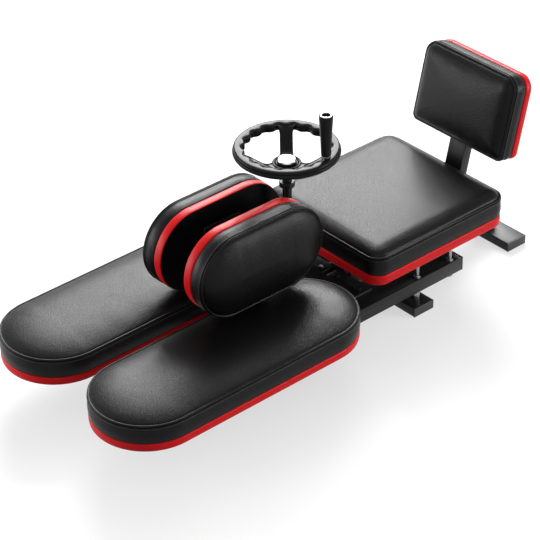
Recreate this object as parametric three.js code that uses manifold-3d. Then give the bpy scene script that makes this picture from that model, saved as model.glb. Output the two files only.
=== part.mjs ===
// Leg stretching machine: a low black steel base carries a padded seat with a leaning backrest, and two
// padded leg boards that swing apart on upright pins. A handwheel in front of the seat turns a lead screw
// through a pair of mitre gears. The nut on the screw pushes a double rack that meshes with a toothed
// sector on each leg, so both legs open by the same angle.
// Millimetres. +Z is up, +Y runs from the foot end to the backrest, X is across. Before the final shift
// y = 0 is the front edge of the seat and x = 0 the plane of symmetry.

import * as THREE from 'three';
import { mergeVertices } from 'three/addons/utils/BufferGeometryUtils.js';
import Module from 'manifold-3d';

const wasm = await Module();
wasm.setup();

// Fits
const GAP = 0.3; // clearance between touching pieces
const RUN = 0.1; // radial clearance of a turning fit
const WELD = 0.6; // how far welded shapes reach into each other
const EPS = 1e-6; // points closer than this are one point

// Seat
const SEAT_WIDTH = 336;
const SEAT_LENGTH = 356;
const SEAT_CORNER = 32;
const SEAT_LIFT = 60.7; // from the rails to the underside of the seat
const SEAT_BASE_HEIGHT = 20.3;
const SEAT_WALL = 40.2; // height of the cushion up to its seam
const SEAT_CROWN = 9;

// Leg pads
const LEG_INNER_X = 26.4;
const LEG_WIDTH = 214.4;
const LEG_LENGTH = 588.2;
const LEG_SET_FORWARD = 51.3; // from the seat to the rear ends of the leg pads
const LEG_BASE_HEIGHT = 15.7;
const LEG_WALL = 39.3;
const LEG_CROWN = 9;

// Upright pads on the inner side of each leg
const UPRIGHT_STEP = 6.8; // outwards from the inner edge of the leg pad
const UPRIGHT_BASE = 19.5;
const UPRIGHT_DEPTH = 50.9;
const UPRIGHT_INSET = 11; // forwards from the rear end of the leg pad
const UPRIGHT_LENGTH = 298.7;
const UPRIGHT_LIFT = 21.7; // above the seam of the leg pad
const UPRIGHT_HEIGHT = 170.4;
const UPRIGHT_CROWN = 9;

// Backrest
const BACK_WIDTH = 248.6;
const BACK_HEIGHT = 175;
const BACK_CORNER = 30;
const BACK_LOWER_CORNER = 13;
const BACK_DEPTH = 47.1;
const BACK_BASE = 16;
const BACK_SET_BACK = 21.2; // behind the rear edge of the seat
const BACK_LIFT = 47.8; // above the seam of the seat
const BACK_LEAN = 0.24;
const BACK_CROWN = 7;
const PAD_ROLL = 5; // width of the rolled, sewn edge of every cushion

// Rails, spine and feet
const FOOT_HEIGHT = 20;
const FOOT_WIDTH = 52.7;
const RAIL_LIFT = 23; // from the top of the feet to the rails
const RAIL_HEIGHT = 30;
const RAIL_INNER_X = 63;
const RAIL_EDGE = 17; // from the hinge pins to the outer faces of the rails
const RAIL_FRONT_REACH = 134; // from the hinge pins to the front ends of the rails
const RAIL_REAR_INSET = 88.4; // from the rear ends of the rails to the rear edge of the seat
const TUBE_WALL = 2.5;
const SPINE_WIDTH = 50;
const SPINE_FRONT_Y = 68.3;
const SPINE_INSET = 2;
const FRONT_FOOT_INSET = 18;
const MIDDLE_FOOT_INSET = 143.3; // from the rear ends of the rails
const MIDDLE_FOOT_REACH = 13.5; // beyond the outer faces of the rails
const REAR_FOOT_REACH = 75.3; // behind the rear edge of the seat
const REAR_FOOT_HALF = 108.5;
const CAP_THICKNESS = 3;
const CAP_PLUG = 8;
const END_PLATE = 8;

// Bolts and studs
const STUD_EDGE = 9; // from the outer faces of the rails
const STUD_REAR_INSET = 26.6; // from the rear ends of the rails
const STUD_R = 5.5;
const SLEEVE_R = 7.5;
const NUT_R = 8.5;
const NUT_HEIGHT = 5;
const BOLT_HEAD_R = 6;
const BOLT_HEAD = 4;

// Leg hinge, sector and rack
const PIVOT_X = 118;
const PIVOT_INSET = 84.7; // from the rear ends of the leg pads to the hinge pins
const PIN_R = 7;
const PIN_FLANGE_R = 14;
const PIN_FLANGE = 2.6;
const HUB_R = 20;
const SECTOR_R = 60;
const MODULE = 4;
const SECTOR_TEETH = 30;
const SECTOR_LIFT = 2.5; // from the rails to the toothed sectors
const PLATE_THICKNESS = 6;
const SECTOR_FROM = 76;
const SECTOR_TO = 200;
const ARM_WIDTH = 60;
const ARM_FRONT_INSET = 49.5;
const ARM_REAR_INSET = 24;
const ARM_STEP = 5.1; // from the sector up to the top of the arm
const ARM_HEIGHT = 8.6;
const BACKLASH = 0.7;

// Lead screw, carriage and gear housing
const WHEEL_STEP = 59.4; // from the hinge pins back to the handwheel's shaft
const SCREW_RISE = 23; // from the underside of the rails to the screw
const SCREW_R = 6;
const SCREW_PROUD = 1.7;
const SCREW_INSET = 2.3;
const RACK_DEPTH = 14;
const RACK_FRONT_REACH = 32;
const RACK_REAR_REACH = 106;
const BRIDGE_DEPTH = 22;
const BRIDGE_DROP = 21.5;
const NUT_OUTER_R = 11;
const SLIDE_CLEARANCE = 0.8;
const MITRE_PITCH_R = 20;
const MITRE_TEETH = 16;
const MITRE_FACE = 8;
const HOUSING_HALF_X = 28;
const HOUSING_HALF_Y = 35;
const HOUSING_WALL = 4;
const HOUSING_RISE = 38; // above the screw
const COLUMN_R = 17;
const COLUMN_HEIGHT = 46;
const BASE_PLATE = 5;
const DECK_FRONT_Y = -16;
const DECK_REAR_Y = 53.4;
const DECK_HALF_X = 100;
const DECK_BOLT_INSET = 16;
const DECK_INNER_BOLT_X = 22;
const DECK_BOLT_REAR_INSET = 23; // from the rear edge of the deck plate
const SLOT_HALF_X = 8; // opening in the deck plate over the lead screw
const SLOT_REAR_INSET = 3.5;
const SLOT_LENGTH = 30;
const BEARING_DEPTH = 14;
const BEARING_HALF = 20;
const BEARING_FOOT = 7;

// Handwheel
const WHEEL_LIFT = 336.6; // from the rails to the top of the rim
const WHEEL_DISH = 35.6; // from the top of the rim down to the hub
const WHEEL_R = 102.3;
const RIM_HEIGHT = 16;
const RIM_WIDTH = 23;
const GRIP_DEPTH = 5;
const GRIP_COUNT = 18;
const SPOKE_WIDTH = 25;
const SPOKE_ANGLE = 19;
const WHEEL_HUB_R = 28;
const CAP_R = 19;
const CAP_RISE = 8;
const SHAFT_R = 9;
const COLLAR_R = 15;
const COLLAR_DROP = 52; // below the hub's top
const COLLAR_HEIGHT = 11;
const CRANK_INSET = 18.7;
const CRANK_HEIGHT = 83.5;
const CRANK_FOOT_R = 9.3;
const CRANK_TOP_R = 13.3;
const SPINDLE_R = 3.5;
const CRANK_RECESS = 8;
const RING_HEIGHT = 3;
const HUB_CROWN = 12;
const HUB_SKIRT = 12;
const SPOKE_THICKNESS = 8;

// Brackets and backrest post
const BRACKET_THICKNESS = 4;
const BRACKET_WIDTH = 90;
const BRACKET_RISE = 40;
const WEB_CLEARANCE = 3.4;
const POST_WIDTH = 44;
const POST_DEPTH = 22;
const SOCKET_WALL = 4;
const SOCKET_HEIGHT = 40;
const SOCKET_REACH = 34;

// Facets, teeth and angles
const CORNER_STEPS = 6;
const ROUND_STEPS = 9;
const RIM_STEPS = 90;
const BAR_STEPS = 24;
const HOLE_STEPS = 12;
const ARC_STEPS = 14;
const RACK_FIRST = -1;
const RACK_LAST = 7;
const PRESSURE = (20 * Math.PI) / 180;

// Shares of the sizes above
const BEARING_RISE_SHARE = 0.8;
const POST_TOP_SHARE = 0.62;
const SECTOR_BODY_SHARE = 0.8;
const ADDENDUM_SHARE = 0.9;
const DEDENDUM_SHARE = 1.2;
const FLANK_SHARE = 0.3;
const MITRE_TIP_SHARE = 0.75;
const MITRE_ROOT_SHARE = 1.15;
const MITRE_TOOTH_SHARES = [[-0.27, 0], [-0.1, 1], [0.1, 1], [0.27, 0]];
const CROWN_REACH_SHARE = 0.93;
const BASE_SHARES = [[0.4, 0], [0.04, 0.14], [-0.12, 0.5], [0.04, 0.86], [0.32, 1]];
const WALL_SHARES = [[0.48, 0], [0, 0.1], [-0.2, 0.45], [-0.04, 0.88], [0.2, 0.95], [0.08, 1], [0.4, 1.035],
  [0.88, 1.03]];
const CROWN_SHARES = [[0, 0], [0.02, 0.22], [0.12, 0.5], [0.3, 0.76], [0.58, 0.93], [1, 1]];
const RIM_PROFILE_SHARES = [[0.1, 0.05], [0, 0.35], [0.02, 0.74], [0.2, 1], [0.86, 1], [1, 0.82], [1, 0.18],
  [0.84, 0]];
const SPOKE_SHARES = [[0.1, 0], [0.32, 0], [0.43, 0.12], [0.76, 0.94], [0.84, 1]];
const CAP_SHARES = [[1, 0.25], [0.9, 0.6], [0.66, 0.85], [0.34, 0.97], [0, 1]];
const CRANK_SHARES = [[0, 0], [0.1, 0.04], [0.28, 0.3], [0.75, 0.75], [1, 0.92], [1, 1]];

// Levels above the floor
const railBottomZ = FOOT_HEIGHT + RAIL_LIFT;
const railTopZ = railBottomZ + RAIL_HEIGHT;
const screwZ = railBottomZ + SCREW_RISE;
const plateBottomZ = railTopZ + SECTOR_LIFT;
const plateTopZ = plateBottomZ + PLATE_THICKNESS;
const armTopZ = plateTopZ + ARM_STEP;
const legBaseZ = armTopZ + GAP;
const legPaddingZ = legBaseZ + LEG_BASE_HEIGHT + GAP;
const uprightBottomZ = legPaddingZ + LEG_WALL + UPRIGHT_LIFT;
const uprightTopZ = uprightBottomZ + UPRIGHT_HEIGHT;
const seatBaseZ = railTopZ + SEAT_LIFT;
const seatPaddingZ = seatBaseZ + SEAT_BASE_HEIGHT + GAP;
const backFootZ = seatPaddingZ + SEAT_WALL + BACK_LIFT;
const housingTopZ = screwZ + HOUSING_RISE;
const columnTopZ = housingTopZ + COLUMN_HEIGHT;
const rimTopZ = railTopZ + WHEEL_LIFT;
const hubTopZ = rimTopZ - WHEEL_DISH;
const collarZ = hubTopZ - COLLAR_DROP;

// Places across the machine
const legCentreX = LEG_INNER_X + LEG_WIDTH / 2;
const uprightInnerX = LEG_INNER_X + UPRIGHT_STEP;
const railOuterX = PIVOT_X + RAIL_EDGE;
const railMiddleX = (RAIL_INNER_X + railOuterX) / 2;
const studX = railOuterX - STUD_EDGE;
const pitchX = PIVOT_X - SECTOR_R;
const rackBackX = pitchX - RACK_DEPTH;
const deckBoltX = DECK_HALF_X - DECK_BOLT_INSET;
const middleFootHalf = railOuterX + MIDDLE_FOOT_REACH;

// Places along the machine
const legRearY = -LEG_SET_FORWARD;
const legFrontY = legRearY - LEG_LENGTH;
const uprightRearY = legRearY - UPRIGHT_INSET;
const uprightFrontY = uprightRearY - UPRIGHT_LENGTH;
const pivotY = legRearY - PIVOT_INSET;
const armFrontY = legFrontY + ARM_FRONT_INSET;
const armRearY = pivotY - ARM_REAR_INSET;
const wheelY = pivotY + WHEEL_STEP;
const rackFrontY = pivotY - RACK_FRONT_REACH;
const rackRearY = pivotY + RACK_REAR_REACH;
const railFrontY = pivotY - RAIL_FRONT_REACH;
const railRearY = SEAT_LENGTH - RAIL_REAR_INSET;
const frontFootY = railFrontY + FRONT_FOOT_INSET;
const middleFootY = railRearY - MIDDLE_FOOT_INSET;
const rearFootY = SEAT_LENGTH + REAR_FOOT_REACH;
const spineRearY = rearFootY + FOOT_WIDTH - SPINE_INSET;
const studFrontY = middleFootY + FOOT_WIDTH / 2;
const studRearY = railRearY - STUD_REAR_INSET;
const backFootY = SEAT_LENGTH + BACK_SET_BACK;

// Faces of a closed skin wound so that they look outwards.
function faceOut(geometry) {
  const p = geometry.attributes.position;
  const index = geometry.index;
  const a = new THREE.Vector3();
  const b = new THREE.Vector3();
  const c = new THREE.Vector3();
  let volume = 0;
  for (let i = 0; i < index.count; i += 3) {
    a.fromBufferAttribute(p, index.getX(i));
    b.fromBufferAttribute(p, index.getX(i + 1));
    c.fromBufferAttribute(p, index.getX(i + 2));
    volume += a.dot(b.cross(c));
  }
  if (volume < 0) {
    for (let i = 0; i < index.count; i += 3) {
      const second = index.getX(i + 1);
      index.setX(i + 1, index.getX(i + 2));
      index.setX(i + 2, second);
    }
  }
  return geometry;
}

function toManifold(geometry) {
  const plain = geometry.clone();
  plain.deleteAttribute('normal');
  plain.deleteAttribute('uv');
  const welded = faceOut(mergeVertices(plain, 1e-4));
  const vertProperties = new Float32Array(welded.attributes.position.array);
  const triVerts = new Uint32Array(welded.index.array);
  return new wasm.Manifold(new wasm.Mesh({ numProp: 3, vertProperties, triVerts }));
}

function toGeometry(solid) {
  const mesh = solid.getMesh();
  const geometry = new THREE.BufferGeometry();
  const positions = new Float32Array(mesh.vertProperties);
  geometry.setAttribute('position', new THREE.BufferAttribute(positions, 3));
  geometry.setIndex(new THREE.BufferAttribute(new Uint32Array(mesh.triVerts), 1));
  return geometry;
}

function unite(...geometries) {
  let solid = toManifold(geometries[0]);
  for (const other of geometries.slice(1)) {
    solid = solid.add(toManifold(other));
  }
  return toGeometry(solid);
}

function cut(geometry, ...tools) {
  let solid = toManifold(geometry);
  for (const tool of tools) {
    solid = solid.subtract(toManifold(tool));
  }
  return toGeometry(solid);
}

function block(x0, x1, y0, y1, z0, z1) {
  const geometry = new THREE.BoxGeometry(x1 - x0, y1 - y0, z1 - z0);
  geometry.translate((x0 + x1) / 2, (y0 + y1) / 2, (z0 + z1) / 2);
  return geometry;
}

// Upright round bar at x, y from z0 to z1.
function post(x, y, radius, z0, z1, segments = BAR_STEPS) {
  const geometry = new THREE.CylinderGeometry(radius, radius, z1 - z0, segments);
  geometry.rotateX(Math.PI / 2);
  geometry.translate(x, y, (z0 + z1) / 2);
  return geometry;
}

// Round bar along Y at x, z from y0 to y1.
function barY(x, z, radius, y0, y1, segments = BAR_STEPS) {
  const geometry = new THREE.CylinderGeometry(radius, radius, y1 - y0, segments);
  geometry.translate(x, (y0 + y1) / 2, z);
  return geometry;
}

// Round bar along X at y, z from x0 to x1.
function barX(y, z, radius, x0, x1, segments = 16) {
  const geometry = new THREE.CylinderGeometry(radius, radius, x1 - x0, segments);
  geometry.rotateZ(Math.PI / 2);
  geometry.translate((x0 + x1) / 2, y, z);
  return geometry;
}

// Solid of revolution about the upright axis at x, y. points are [radius, z] from the axis back to the axis.
function turned(points, x, y, segments = 32) {
  const profile = points.map((p) => new THREE.Vector2(p[0], p[1]));
  const geometry = new THREE.LatheGeometry(profile, segments);
  geometry.rotateX(Math.PI / 2);
  geometry.translate(x, y, 0);
  return geometry;
}

// Flat plate with an outline in X and Y between z0 and z1.
function plate(outline, z0, z1) {
  const shape = new THREE.Shape(outline.map((p) => new THREE.Vector2(p[0], p[1])));
  const geometry = new THREE.ExtrudeGeometry(shape, { depth: z1 - z0, bevelEnabled: false });
  geometry.translate(0, 0, z0);
  return geometry;
}

function mirrorX(geometry) {
  const mirrored = geometry.index ? geometry.toNonIndexed() : geometry.clone();
  const p = mirrored.attributes.position;
  for (let i = 0; i < p.count; i += 3) {
    const second = [p.getX(i + 1), p.getY(i + 1), p.getZ(i + 1)];
    const third = [p.getX(i + 2), p.getY(i + 2), p.getZ(i + 2)];
    p.setX(i, -p.getX(i));
    p.setXYZ(i + 1, -third[0], third[1], third[2]);
    p.setXYZ(i + 2, -second[0], second[1], second[2]);
  }
  mirrored.deleteAttribute('normal');
  mirrored.deleteAttribute('uv');
  return mergeVertices(mirrored, 1e-4);
}

// Points of a rounded rectangle of half sizes a and b, counter-clockwise. Its upper corners have the radius
// r and its lower ones the radius lower.
function roundedOutline(a, b, r, steps, lower = r) {
  const points = [];
  const corners = [[1, 1, r], [-1, 1, r], [-1, -1, lower], [1, -1, lower]];
  corners.forEach(([sx, sy, radius], k) => {
    for (let i = 0; i <= steps; i += 1) {
      const t = (k + i / steps) * (Math.PI / 2);
      points.push([sx * (a - radius) + radius * Math.cos(t), sy * (b - radius) + radius * Math.sin(t)]);
    }
  });
  return points.filter((p, i) => {
    const next = points[(i + 1) % points.length];
    return Math.hypot(p[0] - next[0], p[1] - next[1]) > EPS;
  });
}

// Closed skin through rings of equal point count, with flat ends.
function skin(rings) {
  const count = rings[0].length;
  const positions = [];
  const index = [];
  rings.forEach((ring) => ring.forEach((p) => positions.push(...p)));
  for (let k = 0; k + 1 < rings.length; k += 1) {
    for (let i = 0; i < count; i += 1) {
      const j = (i + 1) % count;
      const a = k * count + i;
      const b = k * count + j;
      const c = a + count;
      const d = b + count;
      index.push(a, b, d, a, d, c);
    }
  }
  const flat = rings[0].map((p) => new THREE.Vector2(p[0], p[1]));
  const last = (rings.length - 1) * count;
  THREE.ShapeUtils.triangulateShape(flat, []).forEach(([a, b, c]) => {
    index.push(a, c, b);
  });
  const top = rings[rings.length - 1].map((p) => new THREE.Vector2(p[0], p[1]));
  THREE.ShapeUtils.triangulateShape(top, []).forEach(([a, b, c]) => {
    index.push(last + a, last + b, last + c);
  });
  const geometry = new THREE.BufferGeometry();
  geometry.setAttribute('position', new THREE.Float32BufferAttribute(positions, 3));
  geometry.setIndex(index);
  return geometry;
}

// A ring of the pad outline drawn in by inset at height z. All its corners shrink by the same share.
function padRing(a, b, r, steps, inset, z, lower = r) {
  const corner = r - inset;
  const outline = roundedOutline(a - inset, b - inset, corner, steps, (corner * lower) / r);
  return outline.map((p) => [p[0], p[1], z]);
}

// Wrapped board under a cushion: rounded band from z = 0 to the given height.
function padBase(a, b, r, steps, height, lower = r) {
  const rings = BASE_SHARES.map(([inset, rise]) => (
    padRing(a, b, r, steps, inset * PAD_ROLL, rise * height, lower)));
  return skin(rings);
}

// Cushion from z = 0 up: pinched foot, full side wall, sewn groove at the top edge and a crowned face.
function padding(a, b, r, steps, height, crown, lower = r) {
  const rings = WALL_SHARES.map(([inset, rise]) => (
    padRing(a, b, r, steps, inset * PAD_ROLL, rise * height, lower)));
  const reach = CROWN_REACH_SHARE * r;
  CROWN_SHARES.forEach(([along, rise]) => {
    const inset = PAD_ROLL + along * (reach - PAD_ROLL);
    rings.push(padRing(a, b, r, steps, inset, height + rise * crown, lower));
  });
  return skin(rings);
}

// Rectangular tube along Y with open ends.
function tubeY(x0, x1, y0, y1, z0, z1) {
  const outer = block(x0, x1, y0, y1, z0, z1);
  const inner = block(x0 + TUBE_WALL, x1 - TUBE_WALL, y0 - WELD, y1 + WELD, z0 + TUBE_WALL, z1 - TUBE_WALL);
  return cut(outer, inner);
}

// Rectangular tube along X with open ends.
function tubeX(x0, x1, y0, y1, z0, z1) {
  const outer = block(x0, x1, y0, y1, z0, z1);
  const inner = block(x0 - WELD, x1 + WELD, y0 + TUBE_WALL, y1 - TUBE_WALL, z0 + TUBE_WALL, z1 - TUBE_WALL);
  return cut(outer, inner);
}

// Gear tooth flank points on one side, from root to tip, for a gear with the given pitch radius.
function gearOutline(teeth, from, to, bodyR) {
  const pitchR = (MODULE * teeth) / 2;
  const baseR = pitchR * Math.cos(PRESSURE);
  const tipR = pitchR + ADDENDUM_SHARE * MODULE;
  const rootR = pitchR - DEDENDUM_SHARE * MODULE;
  const inv = (r) => Math.sqrt(Math.max((r / baseR) ** 2 - 1, 0)) - Math.acos(Math.min(baseR / r, 1));
  const halfPitch = (Math.PI * MODULE) / 2 - BACKLASH;
  const halfAtPitch = halfPitch / 2 / pitchR;
  const radii = [rootR, baseR + (pitchR - baseR) * FLANK_SHARE, pitchR, tipR];
  const half = (r) => halfAtPitch + inv(pitchR) - inv(Math.max(r, baseR));
  const points = [];
  const step = 360 / teeth;
  const first = Math.ceil(from / step) * step;
  const deg = Math.PI / 180;
  points.push([rootR * Math.cos(from * deg), rootR * Math.sin(from * deg)]);
  for (let angle = first; angle <= to + EPS; angle += step) {
    radii.forEach((r) => {
      points.push([r * Math.cos(angle * deg - half(r)), r * Math.sin(angle * deg - half(r))]);
    });
    [...radii].reverse().forEach((r) => {
      points.push([r * Math.cos(angle * deg + half(r)), r * Math.sin(angle * deg + half(r))]);
    });
  }
  points.push([rootR * Math.cos((to + step / 2) * deg), rootR * Math.sin((to + step / 2) * deg)]);
  const start = to + step / 2;
  for (let k = 0; k <= ARC_STEPS; k += 1) {
    const t = (start + ((from + 360 - start) * k) / ARC_STEPS) * deg;
    points.push([bodyR * Math.cos(t), bodyR * Math.sin(t)]);
  }
  return points;
}

// Mitre gear about +Z with its cone's point at the origin and its back at z = MITRE_PITCH_R.
function mitreGear(toothAtReference) {
  const slant = MITRE_PITCH_R * Math.SQRT2;
  const module = (2 * MITRE_PITCH_R) / MITRE_TEETH;
  const tip = Math.PI / 4 + Math.atan((MITRE_TIP_SHARE * module) / slant);
  const root = Math.PI / 4 - Math.atan((MITRE_ROOT_SHARE * module) / slant);
  const rings = [];
  const near = (slant - MITRE_FACE) / slant;
  const pitch = (2 * Math.PI) / MITRE_TEETH;
  const offset = toothAtReference ? 0 : pitch / 2;
  [near, 1].forEach((scale) => {
    const ring = [];
    for (let k = 0; k < MITRE_TEETH; k += 1) {
      MITRE_TOOTH_SHARES.forEach(([along, height]) => {
        const phi = (k + along) * pitch + offset;
        const cone = root + (tip - root) * height;
        const r = slant * scale * Math.sin(cone);
        ring.push([r * Math.cos(phi), r * Math.sin(phi), slant * scale * Math.cos(cone)]);
      });
    }
    rings.push(ring);
  });
  return skin(rings);
}

const group = new THREE.Group();

function add(name, geometry, look) {
  const plain = geometry.clone();
  plain.deleteAttribute('normal');
  plain.deleteAttribute('uv');
  const solid = faceOut(mergeVertices(plain, 1e-4));
  solid.computeVertexNormals();
  const mesh = new THREE.Mesh(solid, new THREE.MeshStandardMaterial(look));
  mesh.name = name;
  group.add(mesh);
}

const LEATHER_BLACK = { color: 0x0b0b0c, roughness: 0.38, metalness: 0 };
const LEATHER_RED = { color: 0xb81016, roughness: 0.42, metalness: 0 };
const PAINT_BLACK = { color: 0x111214, roughness: 0.35, metalness: 0.3 };
const PLASTIC_BLACK = { color: 0x141516, roughness: 0.5, metalness: 0 };
const STEEL = { color: 0xb9bcc0, roughness: 0.25, metalness: 1 };
const GEAR_STEEL = { color: 0x8d9095, roughness: 0.35, metalness: 1 };
const BRONZE = { color: 0xa87b3e, roughness: 0.35, metalness: 1 };
const CHROME = { color: 0xdfe1e4, roughness: 0.12, metalness: 1 };

const footNutZ = TUBE_WALL + GAP;
const sides = [['left', 1], ['right', -1]];

// Rails: two wide tubes that carry the seat studs and the leg hinge pins.
for (const [side, sign] of sides) {
  const tube = tubeY(RAIL_INNER_X, railOuterX, railFrontY, railRearY, railBottomZ, railTopZ);
  const holes = [
    post(PIVOT_X, pivotY, PIN_R + GAP, railBottomZ - WELD, railTopZ + WELD, HOLE_STEPS),
    post(studX, studFrontY, STUD_R + GAP, railBottomZ - WELD, railTopZ + WELD, HOLE_STEPS),
    post(studX, studRearY, STUD_R + GAP, railBottomZ - WELD, railTopZ + WELD, HOLE_STEPS),
    post(railMiddleX, frontFootY + FOOT_WIDTH / 2, STUD_R + GAP, railBottomZ - WELD,
      railBottomZ + TUBE_WALL + WELD, HOLE_STEPS),
  ];
  const rail = cut(tube, ...holes);
  add(`rail_${side}`, sign > 0 ? rail : mirrorX(rail), PAINT_BLACK);
  const face = block(RAIL_INNER_X, railOuterX, railRearY + GAP, railRearY + GAP + CAP_THICKNESS,
    railBottomZ, railTopZ);
  const inset = TUBE_WALL + GAP;
  const plug = block(RAIL_INNER_X + inset, railOuterX - inset, railRearY - CAP_PLUG,
    railRearY + GAP + WELD, railBottomZ + inset, railTopZ - inset);
  const cap = unite(face, plug);
  add(`rail_cap_${side}`, sign > 0 ? cap : mirrorX(cap), PLASTIC_BLACK);
}

// Plate that closes and ties the front ends of the rails and holds the front end of the lead screw.
const endPlateBack = railFrontY - GAP;
const screwFrontY = endPlateBack - END_PLATE - SCREW_PROUD;
const screwRearY = SPINE_FRONT_Y - SCREW_INSET;
const endPlate = cut(
  unite(
    block(-railOuterX, railOuterX, endPlateBack - END_PLATE, endPlateBack, railBottomZ, railTopZ),
    block(-BEARING_HALF, BEARING_HALF, endPlateBack - END_PLATE, endPlateBack, railBottomZ + WELD,
      screwZ + SCREW_R * 2),
  ),
  barY(0, screwZ, SCREW_R + RUN, endPlateBack - END_PLATE - WELD, endPlateBack + WELD),
);
add('front_plate', endPlate, PAINT_BLACK);

// Spine: centre tube behind the lead screw that carries the backrest socket.
const spineHalf = SPINE_WIDTH / 2;
add('spine', tubeY(-spineHalf, spineHalf, SPINE_FRONT_Y, spineRearY, railBottomZ, railTopZ), PAINT_BLACK);
const spineInset = TUBE_WALL + GAP;
add('spine_cap', unite(
  block(-spineHalf, spineHalf, spineRearY + GAP, spineRearY + GAP + CAP_THICKNESS, railBottomZ, railTopZ),
  block(-spineHalf + spineInset, spineHalf - spineInset, spineRearY - CAP_PLUG, spineRearY + GAP + WELD,
    railBottomZ + spineInset, railTopZ - spineInset),
), PLASTIC_BLACK);

// Cross feet: flat tubes on the floor, closed by end caps.
const feet = [
  ['front', frontFootY, railOuterX, [railMiddleX]],
  ['middle', middleFootY, middleFootHalf, [studX]],
  ['rear', rearFootY, REAR_FOOT_HALF, []],
];
for (const [name, y, half, studs] of feet) {
  const reach = half - CAP_THICKNESS - GAP;
  const middle = y + FOOT_WIDTH / 2;
  const tube = tubeX(-reach, reach, y, y + FOOT_WIDTH, 0, FOOT_HEIGHT);
  const holes = [];
  studs.forEach((x) => {
    holes.push(post(x, middle, STUD_R + GAP, FOOT_HEIGHT / 2, FOOT_HEIGHT + WELD, HOLE_STEPS));
    holes.push(post(-x, middle, STUD_R + GAP, FOOT_HEIGHT / 2, FOOT_HEIGHT + WELD, HOLE_STEPS));
  });
  add(`foot_${name}`, cut(tube, ...holes), PAINT_BLACK);
  for (const [side, sign] of sides) {
    const inset = TUBE_WALL + GAP;
    const cap = unite(
      block(half - CAP_THICKNESS, half, y, y + FOOT_WIDTH, 0, FOOT_HEIGHT),
      block(reach - CAP_PLUG, half - CAP_THICKNESS + WELD, y + inset, y + FOOT_WIDTH - inset,
        inset, FOOT_HEIGHT - inset),
    );
    add(`foot_cap_${name}_${side}`, sign > 0 ? cap : mirrorX(cap), PLASTIC_BLACK);
  }
}

// Studs: a threaded bar with sleeve and nuts, from the foot through the rail and on to the seat base.
function hexNut(x, y, z0, z1) {
  return post(x, y, NUT_R, z0, z1, 6);
}

function footStud(x, y, topZ) {
  const parts = [
    post(x, y, STUD_R, footNutZ + NUT_HEIGHT / 2, topZ, HOLE_STEPS),
    hexNut(x, y, footNutZ, footNutZ + NUT_HEIGHT),
    post(x, y, SLEEVE_R, FOOT_HEIGHT + GAP, railBottomZ - GAP, HOLE_STEPS),
    hexNut(x, y, railTopZ + GAP, railTopZ + GAP + NUT_HEIGHT),
  ];
  return unite(...parts);
}

function seatStud(x, y) {
  return unite(
    post(x, y, STUD_R, railBottomZ - NUT_HEIGHT, seatBaseZ - GAP, HOLE_STEPS),
    hexNut(x, y, railBottomZ - GAP - NUT_HEIGHT, railBottomZ - GAP),
    hexNut(x, y, railTopZ + GAP, railTopZ + GAP + NUT_HEIGHT),
    hexNut(x, y, seatBaseZ - GAP - NUT_HEIGHT, seatBaseZ - GAP),
  );
}

for (const [side, sign] of sides) {
  const front = unite(
    footStud(sign * studX, studFrontY, seatBaseZ - GAP),
    hexNut(sign * studX, studFrontY, seatBaseZ - GAP - NUT_HEIGHT, seatBaseZ - GAP),
  );
  add(`seat_stud_front_${side}`, front, STEEL);
  add(`seat_stud_rear_${side}`, seatStud(sign * studX, studRearY), STEEL);
  const forward = unite(
    post(sign * railMiddleX, frontFootY + FOOT_WIDTH / 2, STUD_R,
      footNutZ + NUT_HEIGHT / 2, railBottomZ + TUBE_WALL + GAP + NUT_HEIGHT, HOLE_STEPS),
    hexNut(sign * railMiddleX, frontFootY + FOOT_WIDTH / 2, footNutZ,
      footNutZ + NUT_HEIGHT),
    post(sign * railMiddleX, frontFootY + FOOT_WIDTH / 2, SLEEVE_R, FOOT_HEIGHT + GAP, railBottomZ - GAP,
      HOLE_STEPS),
    hexNut(sign * railMiddleX, frontFootY + FOOT_WIDTH / 2, railBottomZ + TUBE_WALL + GAP,
      railBottomZ + TUBE_WALL + GAP + NUT_HEIGHT),
  );
  add(`foot_bolt_front_${side}`, forward, STEEL);
}

// Distance blocks between the spine and the two feet under it.
const spacerHalf = SPINE_WIDTH / 2 - TUBE_WALL;
add('spine_spacer_middle', block(-spacerHalf, spacerHalf, middleFootY + CAP_THICKNESS,
  middleFootY + FOOT_WIDTH - CAP_THICKNESS, FOOT_HEIGHT + GAP, railBottomZ - GAP), PAINT_BLACK);
add('spine_spacer_rear', block(-spacerHalf, spacerHalf, rearFootY + CAP_THICKNESS,
  rearFootY + FOOT_WIDTH - CAP_THICKNESS, FOOT_HEIGHT + GAP, railBottomZ - GAP), PAINT_BLACK);

// Deck plate across the rails in front of the seat, with its bolt heads.
const deckTopZ = railTopZ + GAP + BASE_PLATE;
const deckBoltY = DECK_REAR_Y - DECK_BOLT_REAR_INSET;
const slotRearY = DECK_REAR_Y - SLOT_REAR_INSET;
const deckBolts = [-deckBoltX, -DECK_INNER_BOLT_X, DECK_INNER_BOLT_X, deckBoltX].map((x) => post(
  x, deckBoltY, BOLT_HEAD_R, deckTopZ - WELD, deckTopZ + BOLT_HEAD, 6));
add('deck_plate', cut(
  unite(
    block(-DECK_HALF_X, DECK_HALF_X, DECK_FRONT_Y, DECK_REAR_Y, railTopZ + GAP, deckTopZ),
    ...deckBolts,
  ),
  block(-SLOT_HALF_X, SLOT_HALF_X, slotRearY - SLOT_LENGTH, slotRearY, railTopZ, deckTopZ + WELD),
), PAINT_BLACK);

// Plate under the rails that carries the gear housing.
const housingFrontY = wheelY - HOUSING_HALF_Y;
const housingRearY = wheelY + HOUSING_HALF_Y;
add('gear_plate', block(-railOuterX, railOuterX, housingFrontY - HOUSING_WALL, housingRearY + HOUSING_WALL,
  railBottomZ - GAP - BASE_PLATE, railBottomZ - GAP), PAINT_BLACK);

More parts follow.
